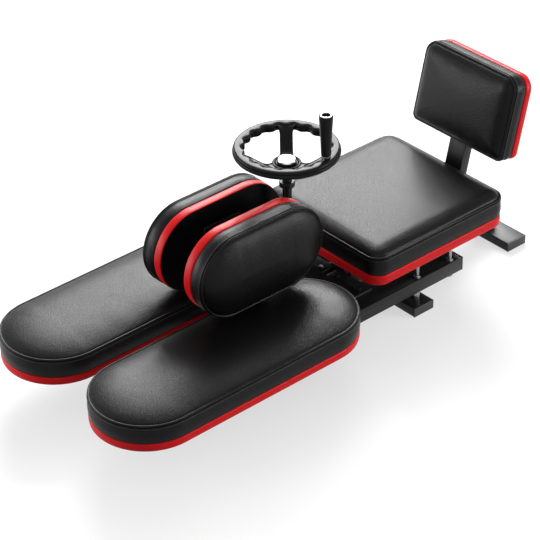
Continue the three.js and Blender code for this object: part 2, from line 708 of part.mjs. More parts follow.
// Gear housing: an open-bottomed box over the mitre gears with the bearing column of the wheel shaft on top.
const housingShell = cut(
  block(-HOUSING_HALF_X, HOUSING_HALF_X, housingFrontY, housingRearY, railBottomZ, housingTopZ),
  block(-HOUSING_HALF_X + HOUSING_WALL, HOUSING_HALF_X - HOUSING_WALL, housingFrontY + HOUSING_WALL,
    housingRearY - HOUSING_WALL, railBottomZ - WELD, housingTopZ - HOUSING_WALL),
);
const housing = cut(
  unite(housingShell, post(0, wheelY, COLUMN_R, housingTopZ - WELD, columnTopZ, 32)),
  post(0, wheelY, SHAFT_R + RUN, housingTopZ - HOUSING_WALL - WELD, columnTopZ + WELD),
  barY(0, screwZ, SCREW_R + RUN, housingFrontY - WELD, housingRearY + WELD),
);
add('gear_housing', housing, PAINT_BLACK);

// Rear bearing block of the lead screw, on the front end of the spine.
const bearingFrontY = SPINE_FRONT_Y - GAP - BEARING_DEPTH;
add('screw_bearing', cut(
  block(-BEARING_HALF, BEARING_HALF, bearingFrontY, SPINE_FRONT_Y - GAP, railBottomZ + BEARING_FOOT,
    screwZ + BEARING_HALF * BEARING_RISE_SHARE),
  barY(0, screwZ, SCREW_R + RUN, bearingFrontY - WELD, screwRearY + GAP),
), PAINT_BLACK);

// Lead screw with its end head and the mitre gear fixed on it.
add('lead_screw', unite(
  barY(0, screwZ, SCREW_R, screwFrontY, screwRearY),
  barY(0, screwZ, SCREW_R + BOLT_HEAD / 2, screwFrontY - BOLT_HEAD, screwFrontY + WELD),
), STEEL);
const screwGear = mitreGear(false);
screwGear.rotateX(-Math.PI / 2);
screwGear.rotateY(Math.PI);
screwGear.translate(0, wheelY, screwZ);
const gearBackY = wheelY + MITRE_PITCH_R;
add('screw_gear', cut(
  unite(
    screwGear,
    barY(0, screwZ, SCREW_R + HOUSING_WALL, gearBackY - MITRE_FACE / 2, gearBackY + MITRE_FACE, HOLE_STEPS),
  ),
  barY(0, screwZ, SCREW_R + GAP, wheelY, gearBackY + MITRE_FACE + WELD),
), GEAR_STEEL);

// Carriage: a bridge between the rails with a rack on each side, pushed by the bronze nut on the screw.
const rackPitch = Math.PI * MODULE;
function rackOutline() {
  const tipX = pitchX + ADDENDUM_SHARE * MODULE;
  const rootX = pitchX - DEDENDUM_SHARE * MODULE;
  const slope = Math.tan(PRESSURE);
  const points = [[rackBackX, rackRearY], [rackBackX, rackFrontY], [rootX, rackFrontY]];
  for (let k = RACK_FIRST; k <= RACK_LAST; k += 1) {
    const y = pivotY + (k + 0.5) * rackPitch;
    const half = (x) => rackPitch / 4 - (x - pitchX) * slope;
    points.push([rootX, y - half(rootX)], [tipX, y - half(tipX)]);
    points.push([tipX, y + half(tipX)], [rootX, y + half(rootX)]);
  }
  points.push([rootX, rackRearY]);
  return points;
}
const bridgeRearY = rackFrontY + BRIDGE_DEPTH;
const bridgeBottomZ = plateBottomZ - BRIDGE_DROP;
const rackLeft = plate(rackOutline(), plateBottomZ, plateTopZ);
const bridgeHalf = RAIL_INNER_X - SLIDE_CLEARANCE;
const rackRootX = pitchX - DEDENDUM_SHARE * MODULE;
add('carriage', cut(
  unite(
    rackLeft,
    mirrorX(rackLeft),
    block(-rackRootX, rackRootX, rackFrontY, bridgeRearY, bridgeBottomZ, plateTopZ),
    block(-bridgeHalf, bridgeHalf, rackFrontY, bridgeRearY, bridgeBottomZ, plateBottomZ - GAP),
  ),
  barY(0, screwZ, NUT_OUTER_R + GAP, rackFrontY - WELD, bridgeRearY + WELD),
), GEAR_STEEL);
add('screw_nut', cut(
  barY(0, screwZ, NUT_OUTER_R, rackFrontY, bridgeRearY + HOUSING_WALL),
  barY(0, screwZ, SCREW_R + RUN, rackFrontY - WELD, bridgeRearY + HOUSING_WALL + WELD),
), BRONZE);

// Seat: red wrapped board and black cushion.
const seatMiddleY = SEAT_LENGTH / 2;
const seatBase = padBase(SEAT_WIDTH / 2, SEAT_LENGTH / 2, SEAT_CORNER, CORNER_STEPS,
  SEAT_BASE_HEIGHT);
seatBase.translate(0, seatMiddleY, seatBaseZ);
add('seat_base', seatBase, LEATHER_RED);
const seatPadding = padding(SEAT_WIDTH / 2, SEAT_LENGTH / 2, SEAT_CORNER, CORNER_STEPS,
  SEAT_WALL, SEAT_CROWN);
seatPadding.translate(0, seatMiddleY, seatPaddingZ);
add('seat_cushion', seatPadding, LEATHER_BLACK);

// Backrest and its post share one leaning frame: x across, y up along the pad, z towards the sitter.
const up = new THREE.Vector3(0, Math.sin(BACK_LEAN), Math.cos(BACK_LEAN));
const front = new THREE.Vector3(0, -Math.cos(BACK_LEAN), Math.sin(BACK_LEAN));
const lean = new THREE.Matrix4().makeBasis(new THREE.Vector3(1, 0, 0), up, front);
lean.setPosition(new THREE.Vector3(0, backFootY, backFootZ).addScaledVector(front, -BACK_DEPTH));
const backBase = padBase(BACK_WIDTH / 2, BACK_HEIGHT / 2, BACK_CORNER, CORNER_STEPS, BACK_BASE - GAP,
  BACK_LOWER_CORNER);
backBase.translate(0, BACK_HEIGHT / 2, 0);
add('back_base', backBase.applyMatrix4(lean), LEATHER_RED);
const backPadding = padding(BACK_WIDTH / 2, BACK_HEIGHT / 2, BACK_CORNER, CORNER_STEPS,
  BACK_DEPTH - BACK_BASE, BACK_CROWN, BACK_LOWER_CORNER);
backPadding.translate(0, BACK_HEIGHT / 2, BACK_BASE);

// The post stands on the front of the backrest's board, in a pocket of the cushion's underside.
const postTop = BACK_HEIGHT * POST_TOP_SHARE;
const postBackFace = BACK_BASE + GAP;
const postFrontFace = postBackFace + POST_DEPTH;
const pocket = block(-POST_WIDTH / 2 - GAP, POST_WIDTH / 2 + GAP, -PAD_ROLL, postTop + GAP,
  BACK_BASE - WELD, postFrontFace + GAP);
add('back_cushion', cut(backPadding, pocket).applyMatrix4(lean), LEATHER_BLACK);

const socketFloorZ = railTopZ + GAP + BASE_PLATE;
const postBehind = BACK_DEPTH - postBackFace;
const postBottom = (socketFloorZ + GAP - backFootZ + postBehind * Math.sin(BACK_LEAN)) / Math.cos(BACK_LEAN);
const backPost = tubeY(-POST_WIDTH / 2, POST_WIDTH / 2, postBottom, postTop, postBackFace, postFrontFace);
add('back_post', backPost.applyMatrix4(lean), PAINT_BLACK);
const sleeveOut = block(-POST_WIDTH / 2 - GAP - SOCKET_WALL, POST_WIDTH / 2 + GAP + SOCKET_WALL,
  postBottom - POST_DEPTH, postBottom + SOCKET_HEIGHT, postBackFace - GAP - SOCKET_WALL,
  postFrontFace + GAP + SOCKET_WALL);
const sleeveIn = block(-POST_WIDTH / 2 - GAP, POST_WIDTH / 2 + GAP, postBottom - POST_DEPTH * 2,
  postBottom + SOCKET_HEIGHT + WELD, postBackFace - GAP, postFrontFace + GAP);
const socketY = backFootY + postBottom * Math.sin(BACK_LEAN) + postBehind * Math.cos(BACK_LEAN);
const socketPlate = block(-SPINE_WIDTH / 2, SPINE_WIDTH / 2, socketY - SOCKET_REACH,
  socketY + SOCKET_REACH / 2, railTopZ + GAP, socketFloorZ);
const below = block(-SPINE_WIDTH, SPINE_WIDTH, 0, spineRearY, 0, railTopZ + GAP);
const sleeve = cut(sleeveOut.applyMatrix4(lean), sleeveIn.applyMatrix4(lean), below);
add('back_socket', unite(sleeve, socketPlate), PAINT_BLACK);

// Wheel shaft with its mitre gear and collar.
const shaftBottomZ = screwZ + SCREW_R * 2;
const hubBoreZ = hubTopZ - HUB_CROWN;
add('wheel_shaft', post(0, wheelY, SHAFT_R, shaftBottomZ, hubBoreZ - GAP), PAINT_BLACK);
const shaftGear = mitreGear(true);
shaftGear.rotateZ(Math.PI / 2);
shaftGear.translate(0, wheelY, screwZ);
const gearBackZ = screwZ + MITRE_PITCH_R;
add('shaft_gear', cut(
  unite(
    shaftGear,
    post(0, wheelY, SHAFT_R + HOUSING_WALL, gearBackZ - MITRE_FACE / 2, gearBackZ + MITRE_FACE, HOLE_STEPS),
  ),
  post(0, wheelY, SHAFT_R + GAP, screwZ, gearBackZ + MITRE_FACE + WELD),
), GEAR_STEEL);
add('shaft_collar', cut(
  post(0, wheelY, COLLAR_R, collarZ, collarZ + COLLAR_HEIGHT, 32),
  post(0, wheelY, SHAFT_R + GAP, collarZ - WELD, collarZ + COLLAR_HEIGHT + WELD),
), PAINT_BLACK);

// Handwheel: rim with finger grips on its inner edge, three dished spokes and a flanged hub.
function rim() {
  const positions = [];
  const index = [];
  const count = RIM_PROFILE_SHARES.length;
  for (let i = 0; i < RIM_STEPS; i += 1) {
    const phi = (2 * Math.PI * i) / RIM_STEPS;
    const wave = (1 - Math.cos(GRIP_COUNT * (phi - (SPOKE_ANGLE * Math.PI) / 180))) / 2;
    const width = RIM_WIDTH - GRIP_DEPTH * wave;
    RIM_PROFILE_SHARES.forEach(([along, height]) => {
      const r = WHEEL_R - along * width;
      positions.push(r * Math.cos(phi), r * Math.sin(phi), rimTopZ - RIM_HEIGHT + height * RIM_HEIGHT);
    });
  }
  for (let i = 0; i < RIM_STEPS; i += 1) {
    for (let k = 0; k < count; k += 1) {
      const a = i * count + k;
      const b = i * count + ((k + 1) % count);
      const c = ((i + 1) % RIM_STEPS) * count + k;
      const d = ((i + 1) % RIM_STEPS) * count + ((k + 1) % count);
      index.push(a, c, d, a, d, b);
    }
  }
  const geometry = new THREE.BufferGeometry();
  geometry.setAttribute('position', new THREE.Float32BufferAttribute(positions, 3));
  geometry.setIndex(index);
  return geometry;
}

function spoke(angle) {
  const low = hubTopZ - SPOKE_THICKNESS - GAP;
  const rise = rimTopZ - RIM_HEIGHT / 4 - hubTopZ;
  const path = SPOKE_SHARES.map(([along, height]) => [along * WHEEL_R, low + height * rise]);
  const outline = [...path, ...[...path].reverse().map(([r, z]) => [r, z + SPOKE_THICKNESS])];
  const shape = new THREE.Shape(outline.map((p) => new THREE.Vector2(p[0], p[1])));
  const geometry = new THREE.ExtrudeGeometry(shape, { depth: SPOKE_WIDTH, bevelEnabled: false });
  geometry.translate(0, 0, -SPOKE_WIDTH / 2);
  const radial = new THREE.Vector3(Math.cos(angle), Math.sin(angle), 0);
  const side = new THREE.Vector3(Math.sin(angle), -Math.cos(angle), 0);
  const basis = new THREE.Matrix4().makeBasis(radial, new THREE.Vector3(0, 0, 1), side);
  return geometry.applyMatrix4(basis);
}

const spokeTurn = (SPOKE_ANGLE * Math.PI) / 180;
const wheelHub = turned([
  [0, hubBoreZ], [SHAFT_R + GAP, hubBoreZ], [SHAFT_R + GAP, hubBoreZ - HUB_SKIRT],
  [COLUMN_R, hubBoreZ - HUB_SKIRT], [COLUMN_R, hubBoreZ], [WHEEL_HUB_R, hubBoreZ + HUB_CROWN / 3],
  [WHEEL_HUB_R, hubTopZ - HUB_CROWN / 5],
  [WHEEL_HUB_R - HUB_CROWN / 5, hubTopZ], [0, hubTopZ],
], 0, 0, 36);
const wheel = unite(rim(), wheelHub, ...[0, 1, 2].map((k) => spoke(spokeTurn + (k * 2 * Math.PI) / 3)));
wheel.translate(0, wheelY, 0);
add('handwheel', wheel, PLASTIC_BLACK);
add('hub_cap', turned([
  [0, hubTopZ + GAP], [CAP_R, hubTopZ + GAP], ...CAP_SHARES.map(([r, z]) => [CAP_R * r,
    hubTopZ + GAP + CAP_RISE * z]),
], 0, wheelY, 24), CHROME);

// Crank handle: a revolving tapered grip with a chrome ring, on a spindle screwed into the rim.
const crankRadius = WHEEL_R - CRANK_INSET;
const crankX = crankRadius * Math.cos(spokeTurn);
const crankY = wheelY + crankRadius * Math.sin(spokeTurn);
const crankFootZ = rimTopZ + GAP;
const crankBottomZ = crankFootZ + HOUSING_WALL / 2 + GAP;
const crankTopZ = crankBottomZ + CRANK_HEIGHT;
const headZ = crankTopZ - CRANK_RECESS;
add('crank_spindle', turned([
  [0, crankFootZ], [CRANK_FOOT_R, crankFootZ], [CRANK_FOOT_R, crankBottomZ - GAP],
  [SPINDLE_R, crankBottomZ - GAP], [SPINDLE_R, headZ + GAP], [SPINDLE_R * 2, headZ + GAP],
  [SPINDLE_R * 2, headZ + CRANK_RECESS / 2],
  [0, headZ + CRANK_RECESS / 2],
], crankX, crankY, 24), STEEL);
const gripProfile = CRANK_SHARES.map(([r, z]) => [CRANK_FOOT_R + (CRANK_TOP_R - CRANK_FOOT_R) * r,
  crankBottomZ + CRANK_HEIGHT * z]);
add('crank_handle', turned([
  [SPINDLE_R + RUN, crankBottomZ], ...gripProfile, [SPINDLE_R * 2 + SLIDE_CLEARANCE, crankTopZ],
  [SPINDLE_R * 2 + SLIDE_CLEARANCE, headZ], [SPINDLE_R + RUN, headZ], [SPINDLE_R + RUN, crankBottomZ],
], crankX, crankY, 24), PLASTIC_BLACK);
add('crank_ring', turned([
  [SPINDLE_R * 2 + SLIDE_CLEARANCE, crankTopZ + GAP], [CRANK_TOP_R - GAP, crankTopZ + GAP],
  [CRANK_TOP_R - GAP, crankTopZ + GAP + RING_HEIGHT / 2],
  [CRANK_TOP_R - RING_HEIGHT / 2, crankTopZ + RING_HEIGHT],
  [SPINDLE_R * 2 + SLIDE_CLEARANCE, crankTopZ + RING_HEIGHT],
  [SPINDLE_R * 2 + SLIDE_CLEARANCE, crankTopZ + GAP],
], crankX, crankY, 24), CHROME);

// Legs: frame with toothed sector, wrapped board, cushion, bracket and the upright pad on its inner side.
const legMiddleY = (legFrontY + legRearY) / 2;
const legHalf = (legRearY - legFrontY) / 2;
const uprightMiddleY = (uprightFrontY + uprightRearY) / 2;
const uprightMiddleZ = (uprightBottomZ + uprightTopZ) / 2;
const uprightHalfY = (uprightRearY - uprightFrontY) / 2;
const uprightHalfZ = (uprightTopZ - uprightBottomZ) / 2;
const outward = new THREE.Matrix4().makeBasis(
  new THREE.Vector3(0, 1, 0),
  new THREE.Vector3(0, 0, 1),
  new THREE.Vector3(1, 0, 0),
);
outward.setPosition(uprightInnerX, uprightMiddleY, uprightMiddleZ);

const armInnerX = legCentreX - ARM_WIDTH / 2;
const armOuterX = legCentreX + ARM_WIDTH / 2;
const sector = plate(gearOutline(SECTOR_TEETH, SECTOR_FROM, SECTOR_TO, SECTOR_R * SECTOR_BODY_SHARE),
  plateBottomZ, plateTopZ);
sector.translate(PIVOT_X, pivotY, 0);
const legFrame = cut(
  unite(
    sector,
    block(armInnerX, armOuterX, armFrontY, armRearY, armTopZ - ARM_HEIGHT, armTopZ),
    post(PIVOT_X, pivotY, HUB_R, railTopZ + GAP, plateBottomZ + WELD, 32),
  ),
  post(PIVOT_X, pivotY, PIN_R + RUN, railTopZ, armTopZ),
);

const webOuterX = legCentreX - LEG_WIDTH / 2 - WEB_CLEARANCE;
const webInnerX = webOuterX - BRACKET_THICKNESS;
const plateOuterX = uprightInnerX - GAP;
const plateInnerX = plateOuterX - BRACKET_THICKNESS;
const bendZ = uprightBottomZ - WEB_CLEARANCE;
const bracketOutline = [
  [webInnerX, armTopZ - BRACKET_THICKNESS], [armInnerX - GAP, armTopZ - BRACKET_THICKNESS],
  [armInnerX - GAP, armTopZ], [webOuterX, armTopZ], [webOuterX, bendZ - (plateOuterX - webOuterX)],
  [plateOuterX, bendZ], [plateOuterX, uprightMiddleZ + BRACKET_RISE],
  [plateInnerX, uprightMiddleZ + BRACKET_RISE],
  [plateInnerX, bendZ + BRACKET_THICKNESS / 2],
  [webInnerX, bendZ + BRACKET_THICKNESS / 2 - (plateInnerX - webInnerX)],
];
const bracketShape = new THREE.Shape(bracketOutline.map((p) => new THREE.Vector2(p[0], p[1])));
const bracketSheet = new THREE.ExtrudeGeometry(bracketShape, { depth: BRACKET_WIDTH, bevelEnabled: false });
bracketSheet.rotateX(Math.PI / 2);
bracketSheet.translate(0, uprightMiddleY + BRACKET_WIDTH / 2, 0);
const bracketBolts = [[-1, 0], [1, 0], [-1, 1], [1, 1]].map(([sy, sz]) => barX(
  uprightMiddleY + sy * BRACKET_WIDTH / 3, uprightMiddleZ - BRACKET_RISE / 2 + sz * BRACKET_RISE,
  BOLT_HEAD_R, plateInnerX - BOLT_HEAD, plateInnerX + WELD, 12));
const bracket = unite(bracketSheet, ...bracketBolts);

const legBase = padBase(LEG_WIDTH / 2, legHalf, LEG_WIDTH / 2, ROUND_STEPS, LEG_BASE_HEIGHT);
legBase.translate(legCentreX, legMiddleY, legBaseZ);
const legPadding = padding(LEG_WIDTH / 2, legHalf, LEG_WIDTH / 2, ROUND_STEPS, LEG_WALL, LEG_CROWN);
legPadding.translate(legCentreX, legMiddleY, legPaddingZ);
const uprightBase = padBase(uprightHalfY, uprightHalfZ, uprightHalfZ, ROUND_STEPS, UPRIGHT_BASE - GAP);
uprightBase.applyMatrix4(outward);
const uprightPadding = padding(uprightHalfY, uprightHalfZ, uprightHalfZ, ROUND_STEPS,
  UPRIGHT_DEPTH - UPRIGHT_BASE, UPRIGHT_CROWN);
uprightPadding.translate(0, 0, UPRIGHT_BASE);
uprightPadding.applyMatrix4(outward);
const pivotPin = turned([
  [0, railBottomZ - GAP - NUT_HEIGHT], [PIN_R + BOLT_HEAD, railBottomZ - GAP - NUT_HEIGHT],
  [PIN_R + BOLT_HEAD, railBottomZ - GAP], [PIN_R, railBottomZ - GAP], [PIN_R, plateTopZ + GAP],
  [PIN_FLANGE_R, plateTopZ + GAP], [PIN_FLANGE_R, plateTopZ + GAP + PIN_FLANGE],
  [0, plateTopZ + GAP + PIN_FLANGE],
], PIVOT_X, pivotY, 24);

const legParts = [
  ['leg_frame', legFrame, PAINT_BLACK],
  ['leg_base', legBase, LEATHER_RED],
  ['leg_cushion', legPadding, LEATHER_BLACK],
  ['upright_bracket', bracket, PAINT_BLACK],
  ['upright_base', uprightBase, LEATHER_RED],
  ['upright_cushion', uprightPadding, LEATHER_BLACK],
  ['pivot_pin', pivotPin, STEEL],
];
for (const [side, sign] of sides) {
  for (const [name, geometry, look] of legParts) {
    add(`${name}_${side}`, sign > 0 ? geometry.clone() : mirrorX(geometry), look);
  }
}

// The row's origin is the centre of the bounding box at floor level.
const bounds = new THREE.Box3().setFromObject(group);
const middle = bounds.getCenter(new THREE.Vector3());
group.children.forEach((mesh) => mesh.geometry.translate(-middle.x, -middle.y, -bounds.min.z));

export default group;
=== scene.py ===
import math

import bmesh
import bpy
import numpy as np
from mathutils import Matrix, Vector, kdtree


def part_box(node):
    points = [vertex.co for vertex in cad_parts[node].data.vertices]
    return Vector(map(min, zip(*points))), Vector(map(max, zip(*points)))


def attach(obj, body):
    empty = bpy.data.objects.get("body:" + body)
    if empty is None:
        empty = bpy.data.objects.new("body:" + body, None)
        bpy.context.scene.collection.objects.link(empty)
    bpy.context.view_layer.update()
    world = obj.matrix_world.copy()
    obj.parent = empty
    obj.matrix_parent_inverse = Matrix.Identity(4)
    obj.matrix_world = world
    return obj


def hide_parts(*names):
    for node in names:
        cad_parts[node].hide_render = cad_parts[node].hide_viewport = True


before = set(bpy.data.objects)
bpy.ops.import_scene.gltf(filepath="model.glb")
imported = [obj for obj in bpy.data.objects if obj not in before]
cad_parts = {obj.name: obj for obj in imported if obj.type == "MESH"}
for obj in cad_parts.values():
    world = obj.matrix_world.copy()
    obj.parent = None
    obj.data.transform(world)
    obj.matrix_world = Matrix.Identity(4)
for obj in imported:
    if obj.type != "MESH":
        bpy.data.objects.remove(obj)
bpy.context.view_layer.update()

# Cross feet: three flat rectangular steel tubes that stand on the floor across the machine. They are
# rolled with round corners, sawn square, and powder coated in satin black before assembly.


class Wire:
    """A socket in a finish's node tree. Sums of wires add Math nodes, and node() adds any other kind."""

    def __init__(self, tree, socket=None):
        self.tree = tree
        self.socket = socket

    def node(self, kind, settings=None, sockets=None, out=0):
        made = self.tree.nodes.new("ShaderNode" + kind)
        for name, value in (settings or {}).items():
            if name == "stops":
                stops = made.color_ramp.elements
                while len(stops) < len(value):
                    stops.new(1.0)
                for stop, (place, grey) in zip(stops, value):
                    stop.position = place
                    stop.color = (grey, grey, grey, 1.0)
            else:
                setattr(made, name, value)
        for name, value in (sockets or {}).items():
            if isinstance(value, Wire):
                self.tree.links.new(value.socket, made.inputs[name])
            else:
                made.inputs[name].default_value = value
        return Wire(self.tree, made.outputs[out])

    def math(self, operation, first, second):
        return self.node("Math", {"operation": operation}, {0: first, 1: second})

    def __add__(self, other):
        return self.math("ADD", self, other)

    def __radd__(self, other):
        return self.math("ADD", other, self)

    def __sub__(self, other):
        return self.math("SUBTRACT", self, other)

    def __rsub__(self, other):
        return self.math("SUBTRACT", other, self)

    def __mul__(self, other):
        return self.math("MULTIPLY", self, other)

    def __rmul__(self, other):
        return self.math("MULTIPLY", other, self)

    def ramp(self, *stops):
        return self.node("ValToRGB", {"stops": stops}, {0: self})

    def blend(self, low, high):
        """Colour between two colours, by this value."""
        return self.node("Mix", {"data_type": "RGBA"}, {0: self, 6: (*low, 1.0), 7: (*high, 1.0)}, 2)

    def noise(self, scale, detail, roughness=0.5):
        """Cloudy pattern on these coordinates."""
        sockets = {"Vector": self, "Scale": scale, "Detail": detail, "Roughness": roughness}
        return self.node("TexNoise", {}, sockets)

    def relief(self, height, below=None):
        """Bumped normal whose height, on this wire, is in metres for a pattern of 1."""
        sockets = {"Strength": 1.0, "Distance": height, "Height": self}
        if below is not None:
            sockets["Normal"] = below
        return self.node("Bump", {}, sockets)


def finish(name):
    """An empty finish and its object coordinates in millimetres."""
    material = bpy.data.materials.new(name)
    material.use_nodes = True
    material.node_tree.nodes.clear()
    metres = Wire(material.node_tree).node("TexCoord", out="Object")
    return material, metres.node("VectorMath", {"operation": "SCALE"}, {0: metres, "Scale": 1000.0})


def coat(material, sockets):
    """Ends a finish in one Principled shader with these sockets."""
    tree = material.node_tree
    shader = Wire(tree).node("BsdfPrincipled", {}, sockets)
    output = tree.nodes.new("ShaderNodeOutputMaterial")
    tree.links.new(shader.socket, output.inputs["Surface"])
    return material


def powder_coat():
    """Satin black powder coat: slight orange peel, faint dust and rub marks."""
    material, place = finish("satin_black_powder_coat")
    cloud = place.noise(0.018, 3.0)
    peel = place.noise(0.45, 2.0)
    rub = place.noise(0.07, 6.0, 0.7).ramp((0.56, 0.0), (0.74, 1.0))
    return coat(material, {
        "Base Color": cloud.blend((0.0075, 0.0077, 0.0082), (0.0135, 0.0138, 0.0145)),
        "Roughness": 0.27 + cloud * 0.1 + rub * 0.1,
        "Normal": peel.relief(0.00005),
        "Specular IOR Level": 0.2,
    })


def place_piece(name, mesh, material, body, slot, *nodes):
    """Ties a finished mesh to its body and slot, in place of the CAD nodes it stands for."""
    piece = bpy.data.objects.new(name, mesh)
    bpy.context.collection.objects.link(piece)
    mesh.materials.clear()
    mesh.materials.append(material)
    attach(piece, body)
    if nodes:
        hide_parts(*nodes)
    return piece


def smooth(mesh, angle):
    """Rounds the shading over all edges but the sharp ones."""
    mesh.shade_smooth()
    mesh.set_sharp_from_angle(angle=math.radians(angle))
    return mesh


def eased(node, roll, chamfer, long_edge=0.06):
    """Copy of a steel part with its long edges rolled round and its cut edges broken."""
    same_point = 2e-6
    flat_turn = 0.02
    corner_turn = 0.9
    short_edge = chamfer * 3.2
    shape = bmesh.new()
    shape.from_mesh(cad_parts[node].data)
    bmesh.ops.remove_doubles(shape, verts=shape.verts, dist=same_point)
    bmesh.ops.dissolve_limit(shape, angle_limit=flat_turn, verts=shape.verts, edges=shape.edges)
    for size, least in ((roll, long_edge), (chamfer, short_edge)):
        sharp = [
            e for e in shape.edges
            if e.is_manifold and e.calc_face_angle() > corner_turn and e.calc_length() > least
        ]
        if size and sharp:
            bmesh.ops.bevel(
                shape, geom=sharp, offset=size, segments=3, profile=0.5, affect="EDGES", clamp_overlap=True
            )
    mesh = bpy.data.meshes.new(node + "_eased")
    shape.to_mesh(mesh)
    shape.free()
    return smooth(mesh, 34.0)


paint = powder_coat()
for foot in ("foot_front", "foot_middle", "foot_rear"):
    tube = eased(foot, roll=0.0022, chamfer=0.0004)
    place_piece(foot + "_tube", tube, paint, "base", "paint_black", foot)

# End caps: moulded polyethylene plugs pushed into the open ends of the feet, the rails and the spine.
# Their faces have a fine spark-eroded texture and a softly rounded rim.


def moulded_cap():
    """Matt black polyethylene with the fine texture of its mould."""
    material, place = finish("matt_black_polyethylene")
    grain = place.noise(1.6, 3.0, 0.6)
    cloud = place.noise(0.03, 2.0)
    return coat(material, {
        "Base Color": cloud.blend((0.010, 0.010, 0.0105), (0.016, 0.016, 0.0165)),
        "Roughness": 0.46 + grain * 0.14,
        "Normal": grain.relief(0.00008),
    })


cap_plastic = moulded_cap()
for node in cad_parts:
    if node.startswith(("foot_cap", "rail_cap", "spine_cap")):
        plug = eased(node, roll=0.0012, chamfer=0.0005, long_edge=0.015)
        place_piece(node + "_plug", plug, cap_plastic, "base", "plastic_cap", node)

# Rails, spine and cross plates: two wide rectangular tubes side by side, a narrower spine behind them,
# and the flat plates and blocks that tie them together. All are cut steel under the same black coat.
for node, roll in (
    ("rail_left", 0.0026), ("rail_right", 0.0026), ("spine", 0.0026), ("spine_spacer_middle", 0.0008),
    ("spine_spacer_rear", 0.0008), ("front_plate", 0.0008), ("gear_plate", 0.0007), ("deck_plate", 0.0006),
    ("screw_bearing", 0.001), ("back_socket", 0.0009), ("back_post", 0.0022),
):
    steel = eased(node, roll, chamfer=0.0004, long_edge=0.03)
    place_piece(node + "_steel", steel, paint, "base", "paint_black", node)

# Gear housing: a folded steel box over the mitre gears with the wheel shaft's bearing column welded on
# its top. It is coated after welding, so the beads show through the paint.


def skin(name, rings, loop=False, angle=32.0):
    """Mesh of quads through rings of equal point count: capped at both ends, or a loop of rings."""
    rings = np.asarray(rings, float)
    rows, count = rings.shape[:2]
    corners = rings.reshape(-1, 3)
    row, step = np.meshgrid(np.arange(rows if loop else rows - 1), np.arange(count), indexing="ij")
    near, far = row * count, (row + 1) % rows * count
    after = (step + 1) % count
    quads = np.stack([near + step, near + after, far + after, far + step], -1).reshape(-1, 4)
    faces = quads.tolist()
    if not loop:
        faces.append(list(range(count))[::-1])
        faces.append([(rows - 1) * count + n for n in range(count)])
    mesh = bpy.data.meshes.new(name)
    mesh.from_pydata(corners.tolist(), [], faces)
    a, b, c, d = (corners[quads[:, n]] for n in range(4))
    centre = corners.mean(0)
    volume = np.einsum("ij,ij->", a - centre, np.cross(b - centre, c - centre))
    volume += np.einsum("ij,ij->", a - centre, np.cross(c - centre, d - centre))
    if volume < 0:
        mesh.flip_normals()
    mesh.validate()
    return smooth(mesh, angle)


def turned(name, profile, centre, steps=64, loop=False, angle=32.0):
    """Body turned on an upright lathe about centre. The profile is radius and height in metres."""
    turn = np.linspace(0, 2 * np.pi, steps, endpoint=False)
    rings = [
        [(centre[0] + r * math.cos(t), centre[1] + r * math.sin(t), z) for t in turn]
        for r, z in profile
    ]
    return skin(name, rings, loop, angle)


